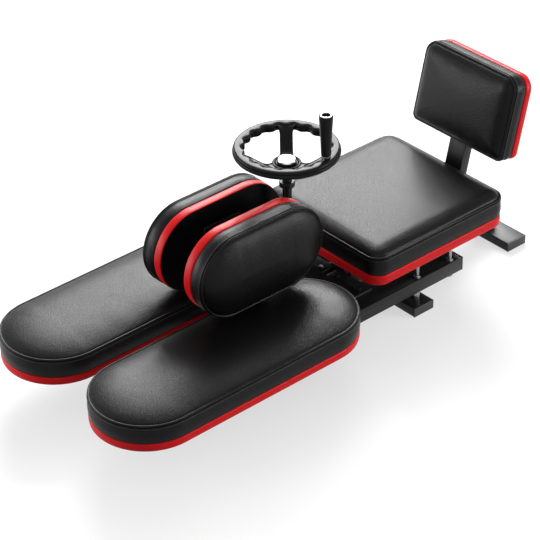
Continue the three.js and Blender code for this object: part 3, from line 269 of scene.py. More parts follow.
def set_along(name, places, sides, item, material, body, slot, spacing=0.0, wobble=0.0, seed=1):
    """Copies of a small item stood at places, or spaced along the line through them, by Geometry Nodes."""
    count = len(places)
    edges = [(n, (n + 1) % count) for n in range(count)] if spacing else []
    line = bpy.data.meshes.new(name + "_line")
    line.from_pydata([tuple(p) for p in places], edges, [])
    side = line.attributes.new("side", "FLOAT_VECTOR", "POINT")
    side.data.foreach_set("vector", np.asarray(sides, np.float32).reshape(-1))
    holder = bpy.data.objects.new(name + "_path", line)
    bpy.context.collection.objects.link(holder)
    tree = bpy.data.node_groups.new(name + "_repeat", "GeometryNodeTree")
    face = tree.interface
    face.new_socket("Path", in_out="INPUT", socket_type="NodeSocketGeometry")
    inputs = {"Item": "Object", "Finish": "Material", "Spacing": "Float", "Wobble": "Float", "Seed": "Int"}
    for title, kind in inputs.items():
        face.new_socket(title, in_out="INPUT", socket_type="NodeSocket" + kind)
    face.new_socket("Pieces", in_out="OUTPUT", socket_type="NodeSocketGeometry")

    def step(kind, links, **settings):
        node = tree.nodes.new(kind)
        for key, value in settings.items():
            setattr(node, key, value)
        for key, value in links.items():
            if isinstance(value, bpy.types.NodeSocket):
                tree.links.new(value, node.inputs[key])
            else:
                node.inputs[key].default_value = value
        return node.outputs

    given = step("NodeGroupInput", {})
    points = given["Path"]
    outward = step("GeometryNodeInputNamedAttribute", {"Name": "side"}, data_type="FLOAT_VECTOR")["Attribute"]
    align = "FunctionNodeAlignRotationToVector"
    if spacing:
        curve = step("GeometryNodeMeshToCurve", {"Mesh": points})["Curve"]
        even = {"Curve": curve, "Length": given["Spacing"]}
        points = step("GeometryNodeResampleCurve", even, mode="LENGTH")["Curve"]
        ahead = step("GeometryNodeInputTangent", {})["Tangent"]
        turn = step(align, {"Vector": ahead}, axis="X")["Rotation"]
        turn = step(align, {"Rotation": turn, "Vector": outward}, axis="Z", pivot_axis="X")["Rotation"]
    else:
        turn = step(align, {"Vector": outward}, axis="Z")["Rotation"]
    draw = {"Min": (-1, -1, -1), "Max": (1, 1, 1), "Seed": given["Seed"]}
    spread = step("FunctionNodeRandomValue", draw, data_type="FLOAT_VECTOR")["Value"]
    sway = step("ShaderNodeVectorMath", {0: spread, "Scale": given["Wobble"]}, operation="SCALE")["Vector"]
    sway = step("FunctionNodeEulerToRotation", {"Euler": sway})["Rotation"]
    swayed = {"Rotation": turn, "Rotate By": sway}
    turn = step("FunctionNodeRotateRotation", swayed, rotation_space="LOCAL")["Rotation"]
    copy = step("GeometryNodeObjectInfo", {"Object": given["Item"]})["Geometry"]
    stand = {"Points": points, "Instance": copy, "Rotation": turn}
    stood = step("GeometryNodeInstanceOnPoints", stand)["Instances"]
    real = step("GeometryNodeRealizeInstances", {"Geometry": stood})["Geometry"]
    painted = step("GeometryNodeSetMaterial", {"Geometry": real, "Material": given["Finish"]})["Geometry"]
    step("NodeGroupOutput", {"Pieces": painted})

    holder_item = bpy.data.objects.new(name + "_item", item)
    bpy.context.collection.objects.link(holder_item)
    modifier = holder.modifiers.new("repeat", "NODES")
    modifier.node_group = tree
    values = {"Item": holder_item, "Finish": material, "Spacing": spacing, "Wobble": wobble, "Seed": seed}
    for socket in face.items_tree:
        if socket.in_out == "INPUT" and socket.name in values:
            modifier[socket.identifier] = values[socket.name]
    bpy.context.view_layer.update()
    graph = bpy.context.evaluated_depsgraph_get()
    mesh = bpy.data.meshes.new_from_object(holder.evaluated_get(graph), depsgraph=graph)
    mesh.name = name
    bpy.data.objects.remove(holder)
    bpy.data.objects.remove(holder_item)
    place_piece(name, mesh, material, body, slot)


def weld(name, places, sides, radius, body, seed):
    """Painted weld bead: overlapping ripples laid along a closed line of places."""
    ripple = turned(name + "_ripple", [
        (radius * 0.5, -radius * 0.42), (radius * 0.9, -radius * 0.2), (radius, 0.0),
        (radius * 0.9, radius * 0.2), (radius * 0.5, radius * 0.42),
    ], (0, 0), steps=8, angle=80.0)
    ripple.transform(Matrix.Rotation(math.pi / 2, 4, "Y"))
    set_along(name, places, sides, ripple, paint, body, "paint_black", radius * 0.62, 0.18, seed)


def ring_places(centre, radius, z):
    """Places round an upright axis, and the directions up and away from it."""
    turn = np.linspace(0, 2 * np.pi, 48, endpoint=False)
    away = np.stack([np.cos(turn), np.sin(turn), 0 * turn], -1)
    return away * radius + np.array([centre[0], centre[1], z]), away + np.array([0, 0, 1.0])


HOUSING_TOP = 0.1044
COLUMN_RADIUS = 0.0172
BEAD_RADIUS = 0.0021
housing = eased("gear_housing", roll=0.0016, chamfer=0.0005, long_edge=0.03)
place_piece("gear_housing_box", housing, paint, "base", "paint_black", "gear_housing")
low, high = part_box("wheel_shaft")
wheel_axis = ((low.x + high.x) / 2, (low.y + high.y) / 2)
bead_places, bead_sides = ring_places(wheel_axis, COLUMN_RADIUS, HOUSING_TOP)
weld("column_weld", bead_places, bead_sides, BEAD_RADIUS, "base", seed=3)

# Threaded studs: zinc plated bars with a rolled thread that hold the seat above the rails and the rails
# on the feet, each with spacer sleeves and chamfered hexagon nuts.


def plated(name, colour, rough, speckle, metal=1.0):
    """Bright plated or machined metal with fine drag marks and slight stains."""
    material, place = finish(name)
    fine = place.noise(2.4, 4.0, 0.6)
    cloud = place.noise(0.09, 3.0)
    deep = tuple(c * 0.72 for c in colour)
    return coat(material, {
        "Base Color": cloud.blend(deep, colour),
        "Roughness": rough + fine * speckle + cloud * 0.05,
        "Metallic": metal,
        "Normal": fine.relief(0.000012),
    })


zinc = plated("bright_zinc", (0.36, 0.37, 0.39), rough=0.12, speckle=0.10, metal=0.82)
white_zinc = plated("white_zinc", (0.9, 0.91, 0.93), rough=0.3, speckle=0.12, metal=0.25)


def thread(name, radius, pitch, starts, depth, centre, z0, z1, steps=18):
    """Upright right-handed screw thread between two heights, running out at both ends."""
    rings_per_pitch = 5
    run_out = 1.5
    turn = np.linspace(0, 2 * np.pi, steps, endpoint=False)
    rings = []
    for z in np.arange(z0, z1, pitch / rings_per_pitch):
        phase = (z / pitch - starts * turn / (2 * np.pi)) % 1.0
        crest = np.clip(1.6 - 3.2 * np.abs(phase - 0.5), 0, 1)
        ends = min(1.0, (z - z0) / pitch / run_out + 0.1, (z1 - z) / pitch / run_out + 0.1)
        r = radius - depth + depth * crest * ends
        rings.append(np.stack([centre[0] + r * np.cos(turn), centre[1] + r * np.sin(turn), 0 * turn + z], -1))
    return skin(name, rings, angle=60.0)


def joined(name, meshes):
    """One mesh from several."""
    shape = bmesh.new()
    for mesh in meshes:
        shape.from_mesh(mesh)
    whole = bpy.data.meshes.new(name)
    shape.to_mesh(whole)
    shape.free()
    return whole


def hexagon(name, across, height, bore=0.0):
    """Hexagon nut or bolt head standing on z = 0, with the arcs that a chamfer leaves on its flats."""
    chamfer_start, chamfer_slope, lead_in = 0.97, 1.9, 0.0006
    turn = np.linspace(0, 2 * np.pi, 72, endpoint=False)
    flat = across / 2 / np.cos((turn + np.pi / 6) % (np.pi / 3) - np.pi / 6)
    rings = []
    for share in (0.0, 0.05, 0.12, 0.2, 0.8, 0.88, 0.95, 1.0):
        away = min(share, 1 - share) * height
        chamfer = across / 2 * chamfer_start + away * chamfer_slope
        r = np.minimum(flat, chamfer)
        rings.append(np.stack([r * np.cos(turn), r * np.sin(turn), 0 * turn + share * height], -1))
    if bore:
        for share in (1.0, 0.94, 0.06, 0.0):
            r = bore + (lead_in if share in (0.0, 1.0) else 0.0) + 0 * turn
            rings.append(np.stack([r * np.cos(turn), r * np.sin(turn), 0 * turn + share * height], -1))
        return skin(name, rings, True, 25.0)
    return skin(name, rings, False, 25.0)


THREAD_RADIUS = 0.0044
THREAD_PITCH = 0.0015
THREAD_DEPTH = 0.0008
BAR_RADIUS = 0.0047
BAR_CORE = 0.0041
SLEEVE_BORE = 0.0050
SLEEVE_RADIUS = 0.0064
NUT_HEIGHT = 0.0044
GAP = 0.0003
ON_TUBE_WALL = 0.0028
UNDER_RAIL = 0.0053
UNDER_SEAT = 0.005
stud_meshes, stud_nodes, nut_places = [], [], []
rail_bottom, rail_top = (corner.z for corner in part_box("rail_left"))
foot_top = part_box("foot_middle")[1].z
for node in sorted(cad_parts):
    if not node.startswith(("seat_stud", "foot_bolt_front")):
        continue
    holds_seat = node.startswith("seat_stud")
    low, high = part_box(node)
    centre = ((low.x + high.x) / 2, (low.y + high.y) / 2)
    stud_nodes.append(node)
    start, end = low.z + 0.0005, high.z - 0.0002
    stud_meshes.append(
        thread(node + "_thread", THREAD_RADIUS, THREAD_PITCH, 1, THREAD_DEPTH, centre, start, end)
    )
    if holds_seat:
        start, end = rail_top + 0.0056, high.z - 0.0056
        stud_meshes.append(turned(node + "_bar", [
            (BAR_RADIUS - 0.0002, start), (BAR_RADIUS, start + 0.0004), (BAR_RADIUS, end - 0.0004),
            (BAR_RADIUS - 0.0002, end), (BAR_CORE, end), (BAR_CORE, start),
        ], centre, 32, True))
    if low.z < foot_top:
        start, end = foot_top + GAP, rail_bottom - GAP
        stud_meshes.append(turned(node + "_sleeve", [
            (SLEEVE_BORE, start), (SLEEVE_RADIUS - 0.0003, start), (SLEEVE_RADIUS, start + 0.0005),
            (SLEEVE_RADIUS, end - 0.0005), (SLEEVE_RADIUS - 0.0003, end), (SLEEVE_BORE, end),
        ], centre, 32, True))
    nut_places.append((*centre, ON_TUBE_WALL if low.z < foot_top else rail_bottom - UNDER_RAIL))
    if holds_seat:
        nut_places.append((*centre, rail_top + GAP))
        nut_places.append((*centre, high.z - UNDER_SEAT))
    else:
        nut_places.append((*centre, rail_bottom + ON_TUBE_WALL))
place_piece("threaded_studs", joined("threaded_studs", stud_meshes), zinc, "base", "steel", *stud_nodes)
nut = hexagon("stud_nut", across=0.0122, height=NUT_HEIGHT, bore=0.0046)
set_along("stud_nuts", nut_places, [(0, 0, 1)] * len(nut_places), nut, zinc, "base", "steel")

# Shade sheet: a short channel of folded sheet, spot welded under the slot of the deck plate, in the same
# black coat. It is painted shade: it hides the lit floor below the slot, where the floor under the machine
# would be in shade, and closes the lead screw off from it.
SHADE_SHEET_HALF = 0.0125
SHADE_SHEET_DEPTH = 0.024
SHADE_SHEET_LENGTH = 0.040
SHEET = 0.0012
low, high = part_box("deck_plate")
shade_sheet_outside = [(-1, 0.0002), (-1, SHADE_SHEET_DEPTH), (1, SHADE_SHEET_DEPTH), (1, 0.0002)]
shade_sheet_inside = [(1, 0.0002), (1, SHADE_SHEET_DEPTH - SHEET), (-1, SHADE_SHEET_DEPTH - SHEET), (-1, 0.0002)]
shade_sheet = [(side * SHADE_SHEET_HALF, depth) for side, depth in shade_sheet_outside]
shade_sheet += [(side * (SHADE_SHEET_HALF - SHEET), depth) for side, depth in shade_sheet_inside]
shade_sheet_rings = [
    [(x, high.y - behind, low.z - depth) for x, depth in shade_sheet]
    for behind in (SHADE_SHEET_LENGTH, SHADE_SHEET_LENGTH - 0.0008, 0.0008, 0.0002)
]
place_piece("screw_guard", skin("screw_guard", shade_sheet_rings), paint, "base", "paint_black")

# Hexagon bolts of the deck plate: blackened heads standing on the plate in front of the seat, but for the
# one by the slot, which is bright zinc and smaller, and closes the greasing hole of the lead screw.
HEAD_HEIGHT = 0.0044
FROM_EDGE = 0.023
PROUD = 0.004
bolt_y, bolt_z = high.y - FROM_EDGE, high.z - PROUD
bolt_places = [(x, bolt_y, bolt_z) for x in (-0.084, 0.022, 0.084)]
bolt = hexagon("deck_bolt", across=0.0118, height=HEAD_HEIGHT)
set_along("deck_bolts", bolt_places, [(0, 0, 1)] * 3, bolt, paint, "base", "paint_black")
grease_screw = hexagon("grease_screw", across=0.0075, height=HEAD_HEIGHT)
grease_screw.transform(Matrix.Translation((-0.022, bolt_y, bolt_z)))
place_piece("grease_screw", grease_screw, white_zinc, "base", "steel")

# Lead screw: a four-start rolled thread along the middle of the base, with a plain head at its front
# end. It carries a mitre gear that meets the gear at the foot of the wheel shaft.
low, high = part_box("lead_screw")
front = -low.y
screw = thread(
    "lead_screw_thread", radius=0.006, pitch=0.0025, starts=4, depth=0.0009, centre=(0, 0),
    z0=-high.y, z1=front - 0.004, steps=24,
)
head = turned("lead_screw_head", [
    (0.0066, front - 0.0046), (0.0078, front - 0.004), (0.008, front - 0.003), (0.0078, front - 0.0004),
    (0.0068, front), (0.003, front), (0.0024, front - 0.0016),
], (0, 0), 32)
screw = joined("lead_screw_turned", [screw, head])
lying_down = Matrix.Rotation(math.pi / 2, 4, "X")
screw.transform(Matrix.Translation((0, 0, (low.z + high.z) / 2)) @ lying_down)
place_piece("lead_screw_bar", screw, white_zinc, "screw", "steel", "lead_screw")
machined = plated("machined_gear_steel", (0.50, 0.51, 0.53), rough=0.26, speckle=0.12)
for node, body in (("screw_gear", "screw"), ("shaft_gear", "handwheel")):
    place_piece(node + "_cut", eased(node, roll=0.0, chamfer=0.0003), machined, body, "gear_steel", node)

# Carriage: a machined steel bridge with a rack on each side, pushed by a bronze nut that is pressed
# into it. The racks mesh with the toothed sectors of the two legs.
racks = eased("carriage", roll=0.0004, chamfer=0.0003)
place_piece("carriage_racks", racks, machined, "carriage", "gear_steel", "carriage")
bronze = plated("turned_bronze", (0.64, 0.45, 0.20), rough=0.24, speckle=0.12)
bush = eased("screw_nut", roll=0.0, chamfer=0.0005)
place_piece("screw_nut_bush", bush, bronze, "carriage", "bronze", "screw_nut")

# Wheel shaft: a straight turned bar up from the gears to the handwheel's hub, coated black, with a
# clamping collar just below the hub.
low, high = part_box("wheel_shaft")
bar = turned("wheel_shaft_bar", [
    (0.0084, low.z), (0.009, low.z + 0.0006), (0.009, high.z - 0.0006), (0.0084, high.z),
], wheel_axis)
place_piece("wheel_shaft_bar", bar, paint, "handwheel", "paint_black", "wheel_shaft")
low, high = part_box("shaft_collar")
ring = turned("shaft_collar_ring", [
    (0.0093, low.z), (0.0142, low.z), (0.015, low.z + 0.0008), (0.015, high.z - 0.0008),
    (0.0142, high.z), (0.0093, high.z),
], wheel_axis, loop=True)
place_piece("shaft_collar_ring", ring, paint, "handwheel", "paint_black", "shaft_collar")

# Handwheel: one moulding in glossy black phenolic. Its rim has a grooved outer edge and eighteen finger
# grips inside, and three wide dished spokes with raised borders run down to a flanged hub.


def phenolic():
    """Glossy black phenolic with flow clouds, fine scuffs and a smooth moulded skin."""
    material, place = finish("glossy_black_phenolic")
    cloud = place.noise(0.04, 3.0)
    scuff = place.noise(0.5, 8.0, 0.75).ramp((0.5, 0.0), (0.72, 1.0))
    fine = place.noise(1.1, 3.0)
    return coat(material, {
        "Base Color": cloud.blend((0.009, 0.009, 0.0095), (0.015, 0.015, 0.0155)),
        "Roughness": 0.12 + cloud * 0.05 + scuff * 0.08,
        "Normal": fine.relief(0.00006),
        "Specular IOR Level": 0.05,
    })


black_phenolic = phenolic()
WHEEL_RADIUS = 0.1023
RIM_WIDTH = 0.023
RIM_HEIGHT = 0.016
FINGER_GRIPS = 18
GRIP_DEPTH = 0.005
SPOKES = 3
SPOKE_TURN = math.radians(19.0)
SHAFT_BORE = 0.0094
rim_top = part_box("handwheel")[1].z
hub_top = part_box("hub_cap")[0].z - 0.0003
rim_profile = [
    (0.84, 0.0), (0.6, 0.0), (0.36, 0.0), (0.22, 0.02), (0.12, 0.07), (0.045, 0.15), (0.008, 0.26),
    (0.0, 0.38), (0.008, 0.49), (0.035, 0.57), (0.075, 0.61), (0.11, 0.615), (0.125, 0.635), (0.118, 0.665),
    (0.095, 0.7), (0.088, 0.76), (0.098, 0.84), (0.135, 0.92), (0.19, 0.965), (0.27, 0.99), (0.4, 1.0),
    (0.55, 1.0), (0.68, 0.99), (0.8, 0.97), (0.89, 0.935), (0.95, 0.88), (0.985, 0.79), (1.0, 0.68),
    (1.0, 0.45), (1.0, 0.2), (0.98, 0.09), (0.925, 0.025),
]
rings = []
for turn in np.linspace(0, 2 * np.pi, FINGER_GRIPS * 24, endpoint=False):
    wave = (1 - math.cos(FINGER_GRIPS * (turn - SPOKE_TURN))) / 2
    ring = []
    for across, rise in rim_profile:
        reach = min(max((across - 0.4) / 0.5, 0), 1)
        dip = GRIP_DEPTH * wave * reach * reach * (3 - 2 * reach)
        r = WHEEL_RADIUS - across * RIM_WIDTH + dip
        ring.append((r * math.cos(turn), r * math.sin(turn), rim_top - RIM_HEIGHT * (1 - rise)))
    rings.append(ring)
wheel_meshes = [skin("handwheel_rim", rings, True, 40.0)]

spoke_section = [
    (-1.0, 0.25), (-0.97, 0.08), (-0.9, 0.0), (0.9, 0.0), (0.97, 0.08), (1.0, 0.25), (1.0, 0.8),
    (0.975, 0.94), (0.92, 1.0), (0.8, 1.0), (0.74, 0.94), (0.7, 0.86), (0.6, 0.83), (0.0, 0.82),
    (-0.6, 0.83), (-0.7, 0.86), (-0.74, 0.94), (-0.8, 1.0), (-0.92, 1.0), (-0.975, 0.94), (-1.0, 0.8),
]
spoke_path = [
    (0.016, -0.0045), (0.026, -0.0045), (0.032, -0.0042), (0.037, -0.0026), (0.043, 0.0003), (0.050, 0.0056),
    (0.058, 0.0122), (0.066, 0.0192), (0.072, 0.0242), (0.077, 0.0272), (0.081, 0.0288), (0.085, 0.0295),
    (0.0885, 0.0296),
]
for n in range(SPOKES):
    angle = SPOKE_TURN + n * 2 * math.pi / SPOKES
    outward = np.array([math.cos(angle), math.sin(angle)])
    sideways = np.array([-math.sin(angle), math.cos(angle)])
    rings = []
    for place, (r, z) in enumerate(spoke_path):
        along = place / (len(spoke_path) - 1)
        hub_flare = 0.0022 * max(0, 1 - along * 3.2) ** 2
        rim_flare = 0.017 * max(0, along * 2.6 - 1.6) ** 2
        half = 0.0125 + hub_flare + rim_flare
        deep = 0.0088 - 0.0012 * along
        rings.append([
            (*(outward * r + sideways * side * half), hub_top + z + (rise - 0.5) * deep)
            for side, rise in spoke_section
        ])
    wheel_meshes.append(skin(f"handwheel_spoke_{n}", rings, False, 40.0))
hub_profile = [
    (SHAFT_BORE, -0.024), (0.0166, -0.024), (0.017, -0.0234), (0.0172, -0.013), (0.019, -0.0108),
    (0.0272, -0.0084), (0.028, -0.007), (0.028, -0.0022), (0.0274, -0.0008), (0.0262, 0.0), (0.0246, 0.0),
    (0.0242, -0.0007), (0.0236, -0.0007), (0.0232, 0.0002), (0.0222, 0.0009), (0.021, 0.0004),
    (0.0204, -0.0004), (SHAFT_BORE, -0.0004),
]
hub_profile = [(r, hub_top + z) for r, z in hub_profile]
wheel_meshes.append(turned("handwheel_hub", hub_profile, (0, 0), 96, True, 40.0))
wheel = joined("handwheel_moulding", wheel_meshes)
wheel.transform(Matrix.Translation((*wheel_axis, 0)))
place_piece("handwheel_moulding", wheel, black_phenolic, "handwheel", "plastic_black", "handwheel")

# Hub cap: a domed cover, satin chromed, pressed over the shaft's end in the middle of the hub, inside a
# narrow collar of the wheel's own phenolic.


def chromed():
    """Satin chrome plate with hairline swirls and faint finger marks."""
    material, place = finish("satin_chrome")
    swirl = place.noise(3.0, 5.0, 0.7)
    touch = place.noise(0.11, 4.0).ramp((0.45, 0.0), (0.62, 1.0))
    return coat(material, {
        "Base Color": touch.blend((0.86, 0.86, 0.87), (0.93, 0.93, 0.94)),
        "Roughness": 0.3 + swirl * 0.1 + touch * 0.06,
        "Metallic": 1.0,
        "Normal": swirl.relief(0.000008),
    })


chrome = chromed()
DOME_RADIUS = 0.0156
DOME_RISE = 0.0010
dome = [(0.0164, 0.0003), (0.0170, 0.0009), (0.0170, 0.0046), (0.0168, 0.0056), (0.0163, 0.0064)]
dome += [
    (DOME_RADIUS * math.cos(t), 0.0068 + DOME_RISE * math.sin(t))
    for t in np.linspace(0.1, 1.52, 10)
]
dome = [(r, hub_top + z) for r, z in dome]
cap = turned("hub_cap_dome", dome, wheel_axis, 72)
place_piece("hub_cap_dome", cap, chrome, "handwheel", "chrome", "hub_cap")
collar = [
    (0.0174, 0.0003), (0.0190, 0.0003), (0.0190, 0.0026), (0.0187, 0.0033), (0.0179, 0.0035),
    (0.0174, 0.0030),
]
collar = [(r, hub_top + z) for r, z in collar]
collar = turned("hub_cap_collar", collar, wheel_axis, 72, True)
place_piece("hub_cap_collar", collar, black_phenolic, "handwheel", "plastic_black")

# Crank handle: a tapered grip in black phenolic that spins on a steel spindle screwed into the rim. A
# chromed ring closes its top, round the recessed head of the spindle.
low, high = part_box("crank_spindle")
crank_axis = ((low.x + high.x) / 2, (low.y + high.y) / 2)
foot, end = low.z, high.z
spindle = turned("crank_spindle_screw", [
    (0.0088, foot), (0.0093, foot + 0.0004), (0.0093, foot + 0.0016), (0.0088, foot + 0.002),
    (0.0035, foot + 0.002), (0.0035, end - 0.0042), (0.0068, end - 0.0042), (0.0073, end - 0.0036),
    (0.0073, end - 0.0006), (0.0067, end), (0.0036, end), (0.0032, end - 0.0016), (0.001, end - 0.0018),
], crank_axis, 48)
place_piece("crank_spindle_screw", spindle, zinc, "handwheel", "steel", "crank_spindle")

GRIP_BORE = 0.00365
GRIP_FOOT = 0.0093
GRIP_SWELL = 0.004
low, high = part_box("crank_handle")
end = high.z
swelling = (
    (0.02, 0.02), (0.07, 0.05), (0.14, 0.12), (0.22, 0.22), (0.34, 0.35), (0.48, 0.5), (0.64, 0.64),
    (0.8, 0.78), (0.94, 0.88), (1.0, 0.93), (1.0, 0.985),
)
taper = [(GRIP_BORE, low.z), (0.0089, low.z), (GRIP_FOOT, low.z + 0.0008)]
taper += [(GRIP_FOOT + GRIP_SWELL * share, low.z + height * (end - low.z)) for share, height in swelling]
taper += [
    (0.0130, end + 0.0016), (0.0127, end + 0.0021), (0.0117, end + 0.0021), (0.0114, end + 0.0018),
    (0.0114, end + 0.0003), (0.0084, end + 0.0003), (0.0084, end - 0.008), (GRIP_BORE, end - 0.008),
]
grip = turned("crank_handle_grip", taper, crank_axis, 72, True, 40.0)
place_piece("crank_handle_grip", grip, black_phenolic, "crank", "plastic_black", "crank_handle")

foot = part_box("crank_ring")[0].z
trim = turned("crank_ring_trim", [
    (0.0088, foot + 0.0001), (0.0112, foot + 0.0001), (0.0112, foot + 0.0014), (0.0109, foot + 0.0020),
    (0.0103, foot + 0.0023), (0.0097, foot + 0.0023), (0.0091, foot + 0.0019), (0.0088, foot + 0.0013),
], crank_axis, 72, True)
place_piece("crank_ring_trim", trim, chrome, "crank", "chrome", "crank_ring")

# Leg frames and brackets: each leg hangs on a pin in the rail by a hub with a toothed sector, and a
# flat arm runs out under the pad. A bent plate rises from the arm and holds the upright pad.
for side in ("left", "right"):
    body = "leg_" + side
    for node, roll in (("leg_frame_" + side, 0.0007), ("upright_bracket_" + side, 0.0012)):
        steel = eased(node, roll, chamfer=0.0003, long_edge=0.05)
        place_piece(node + "_steel", steel, paint, body, "paint_black", node)
    node = "pivot_pin_" + side
    low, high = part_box(node)
    centre = ((low.x + high.x) / 2, (low.y + high.y) / 2)
    under, end = rail_bottom - GAP, high.z
    pin = turned(node, [
        (0.0104, low.z), (0.011, low.z + 0.0006), (0.011, under), (0.007, under), (0.007, end - 0.0026),
        (0.0136, end - 0.0026), (0.014, end - 0.0022), (0.014, end - 0.0008), (0.0132, end), (0.0046, end),
        (0.004, end - 0.0012), (0.001, end - 0.0012),
    ], centre, 48)
    place_piece(node + "_turned", pin, zinc, "base", "steel", node)

# Seat: a firm foam block on a board, in a cover of grained black synthetic leather. The top panel is
# sewn to the side wall in a rolled seam, and the board below is wrapped in red vinyl.


def leather(name, dark, light, grain_size, depth, rough, gloss):
    """Grained synthetic leather: pebbles between creases, slow waves of the hide, worn glossier high spots, and
    painted shade that darkens the creases.
    """
    material, place = finish(name)
    drift = place.noise(0.11, 3.0)
    grid = {"Vector": place, "Scale": 1.0 / grain_size, "Randomness": 1.0}
    cells = place.node("TexVoronoi", {"feature": "DISTANCE_TO_EDGE"}, grid, "Distance")
    pebble = cells.ramp((0.0, 0.0), (0.12, 0.62), (0.4, 1.0))
    clump = place.noise(0.55 / grain_size, 2.0)
    pores = place.noise(2.2 / grain_size, 3.0, 0.65)
    hide = place.noise(0.035, 2.0)
    height = pebble * 0.6 + clump * 0.2 + pores * 0.2
    # The base colour is darker in the creases between the pebbles, which is painted crease shade, and also
    # drifts at random.
    return coat(material, {
        "Base Color": (drift * 0.5 + pebble * 0.5).blend(dark, light),
        "Roughness": rough + 0.16 - pebble * 0.1,
        "Normal": height.relief(depth, hide.relief(0.0003)),
        "Coat Weight": pebble * 0.04,
        "Coat Roughness": 0.18,
        "Specular IOR Level": gloss,
    })


black_leather = leather(
    "black_grained_leather", dark=(0.0015, 0.0015, 0.0016), light=(0.0038, 0.0038, 0.004),
    grain_size=3.4, depth=0.00032, rough=0.23, gloss=0.11,
)
red_vinyl = leather(
    "red_grained_vinyl", dark=(0.48, 0.004, 0.006), light=(0.62, 0.008, 0.011),
    grain_size=2.4, depth=0.00012, rough=0.28, gloss=0.12,
)


def outline(a, b, r, lower, count):
    """Evenly spaced places round a pad's edge, the directions out of it, and how each place moves inwards.

    The pad is a rounded rectangle of half sizes a and b, with the corner radius r above and lower below.
    """
    corners = ((1, 1, r), (-1, 1, r), (-1, -1, lower), (1, -1, lower))
    dense = []
    for quarter, (sx, sy, radius) in enumerate(corners):
        share = radius / r
        for t in np.linspace(0, np.pi / 2, 61) + quarter * np.pi / 2:
            away = np.array([math.cos(t), math.sin(t)])
            edge = np.array([sx * (a - radius), sy * (b - radius)]) + away * radius
            inward = -np.array([sx, sy]) * (1 - share) - away * share
            dense.append(np.concatenate([edge, away, inward]))
    dense = np.array(dense + dense[:1])
    steps = np.hypot(*np.diff(dense[:, :2], axis=0).T)
    run = np.concatenate([[0], np.cumsum(steps)])
    keep = np.concatenate([[True], steps > 1e-9])
    wanted = (np.arange(count) + 0.5) / count * run[-1]
    return np.stack([np.interp(wanted, run[keep], column) for column in dense[keep].T], -1)


def cover_rings(a, b, r, lower, wall, crown, count):
    """Rings of a cushion's cover from its foot to the middle of its top panel, and how free each ring is.

    A row of the wall says how far in and how high it lies, in millimetres, and how free it is: the hem,
    the wall, then the rolled seam with its groove. The top panel reaches edge_share of its crown within
    the corner radius, and the rest of it in the middle.
    """
    edge, _, inward = np.split(outline(a, b, r, lower, count), 3, axis=1)
    round_ended = min(a, b) - r < 0.02
    wide = a > 0.15
    edge_share = 0.93 if round_ended else 0.8 if wide else 0.6
    top = wall * 1000
    wall_foot, wall_head, bulge = 4.0, top - 10.5, 0.95
    wall_rows = [(3.0, 0.0, 0), (1.5, 0.5, 0), (0.6, 1.8, 0), (0.1, wall_foot, 0.2)]
    for n in range(1, 7):
        full = math.sin(math.pi * n / 7)
        wall_rows.append((0.1 - bulge * full, wall_foot + n / 7 * (wall_head - wall_foot), full))
    seam = [
        (0.0, -9.2, 0.1), (0.1, -7.8, 0), (0.35, -7.1, 0), (0.0, -6.7, 0), (-0.7, -6.1, 0), (-1.1, -5.2, 0),
        (-1.15, -4.4, 0), (-0.85, -3.7, 0), (-0.2, -3.3, 0), (1.9, -2.8, 0), (1.9, -1.9, 0), (0.0, -1.5, 0),
        (-0.4, -1.0, 0), (-0.4, -0.3, 0), (-0.1, 0.4, 0), (0.5, 1.0, 0), (1.2, 1.35, 0), (2.0, 1.45, 0),
        (2.8, 1.3, 0), (3.4, 0.9, 0), (3.8, 0.4, 0), (4.2, 0.3, 0), (4.7, 0.8, 0),
    ]
    wall_rows += [(inset, top + z, free) for inset, z, free in seam]
    rows = [(edge + inward * inset / 1000, z / 1000, free) for inset, z, free in wall_rows]

    seam_inset, seam_rise = 0.0048, 0.0008
    reach = 0.93 * r
    rise = crown - seam_rise
    for u in (0.012, 0.03, 0.055, 0.09, 0.13, 0.18, 0.25, 0.34, 0.45, 0.58, 0.72, 0.86, 1.0):
        inset = seam_inset + u * (reach - seam_inset)
        share = math.sin(math.pi / 2 * u**0.62) * edge_share
        rows.append((edge + inward * inset, wall + seam_rise + rise * share, min(1.0, u * 4)))
    if round_ended:
        rows.append((edge + inward * (r - 0.004), wall + crown * 0.935, 1.0))
        rows.append((edge + inward * (r - 0.0015), wall + crown * 0.936, 1.0))
    else:
        inner = rows[-1][0]
        for scale in (0.93, 0.85, 0.75, 0.63, 0.5, 0.36, 0.22, 0.1, 0.03):
            rows.append((inner * scale, wall + seam_rise + rise * edge_share, 1.0))
    rings = np.array([np.column_stack([places, np.full(count, z)]) for places, z, _ in rows])
    free = np.array([free for _, _, free in rows])
    if not round_ended:
        dome = (1 - np.clip(rings[..., 0] / a, -1, 1) ** 2) * (1 - np.clip(rings[..., 1] / b, -1, 1) ** 2)
        on_panel = np.arange(len(rings))[:, None] > len(wall_rows)
        rings[..., 2] += np.where(on_panel, dome * crown * (1.05 - edge_share), 0.0)
    return rings, free


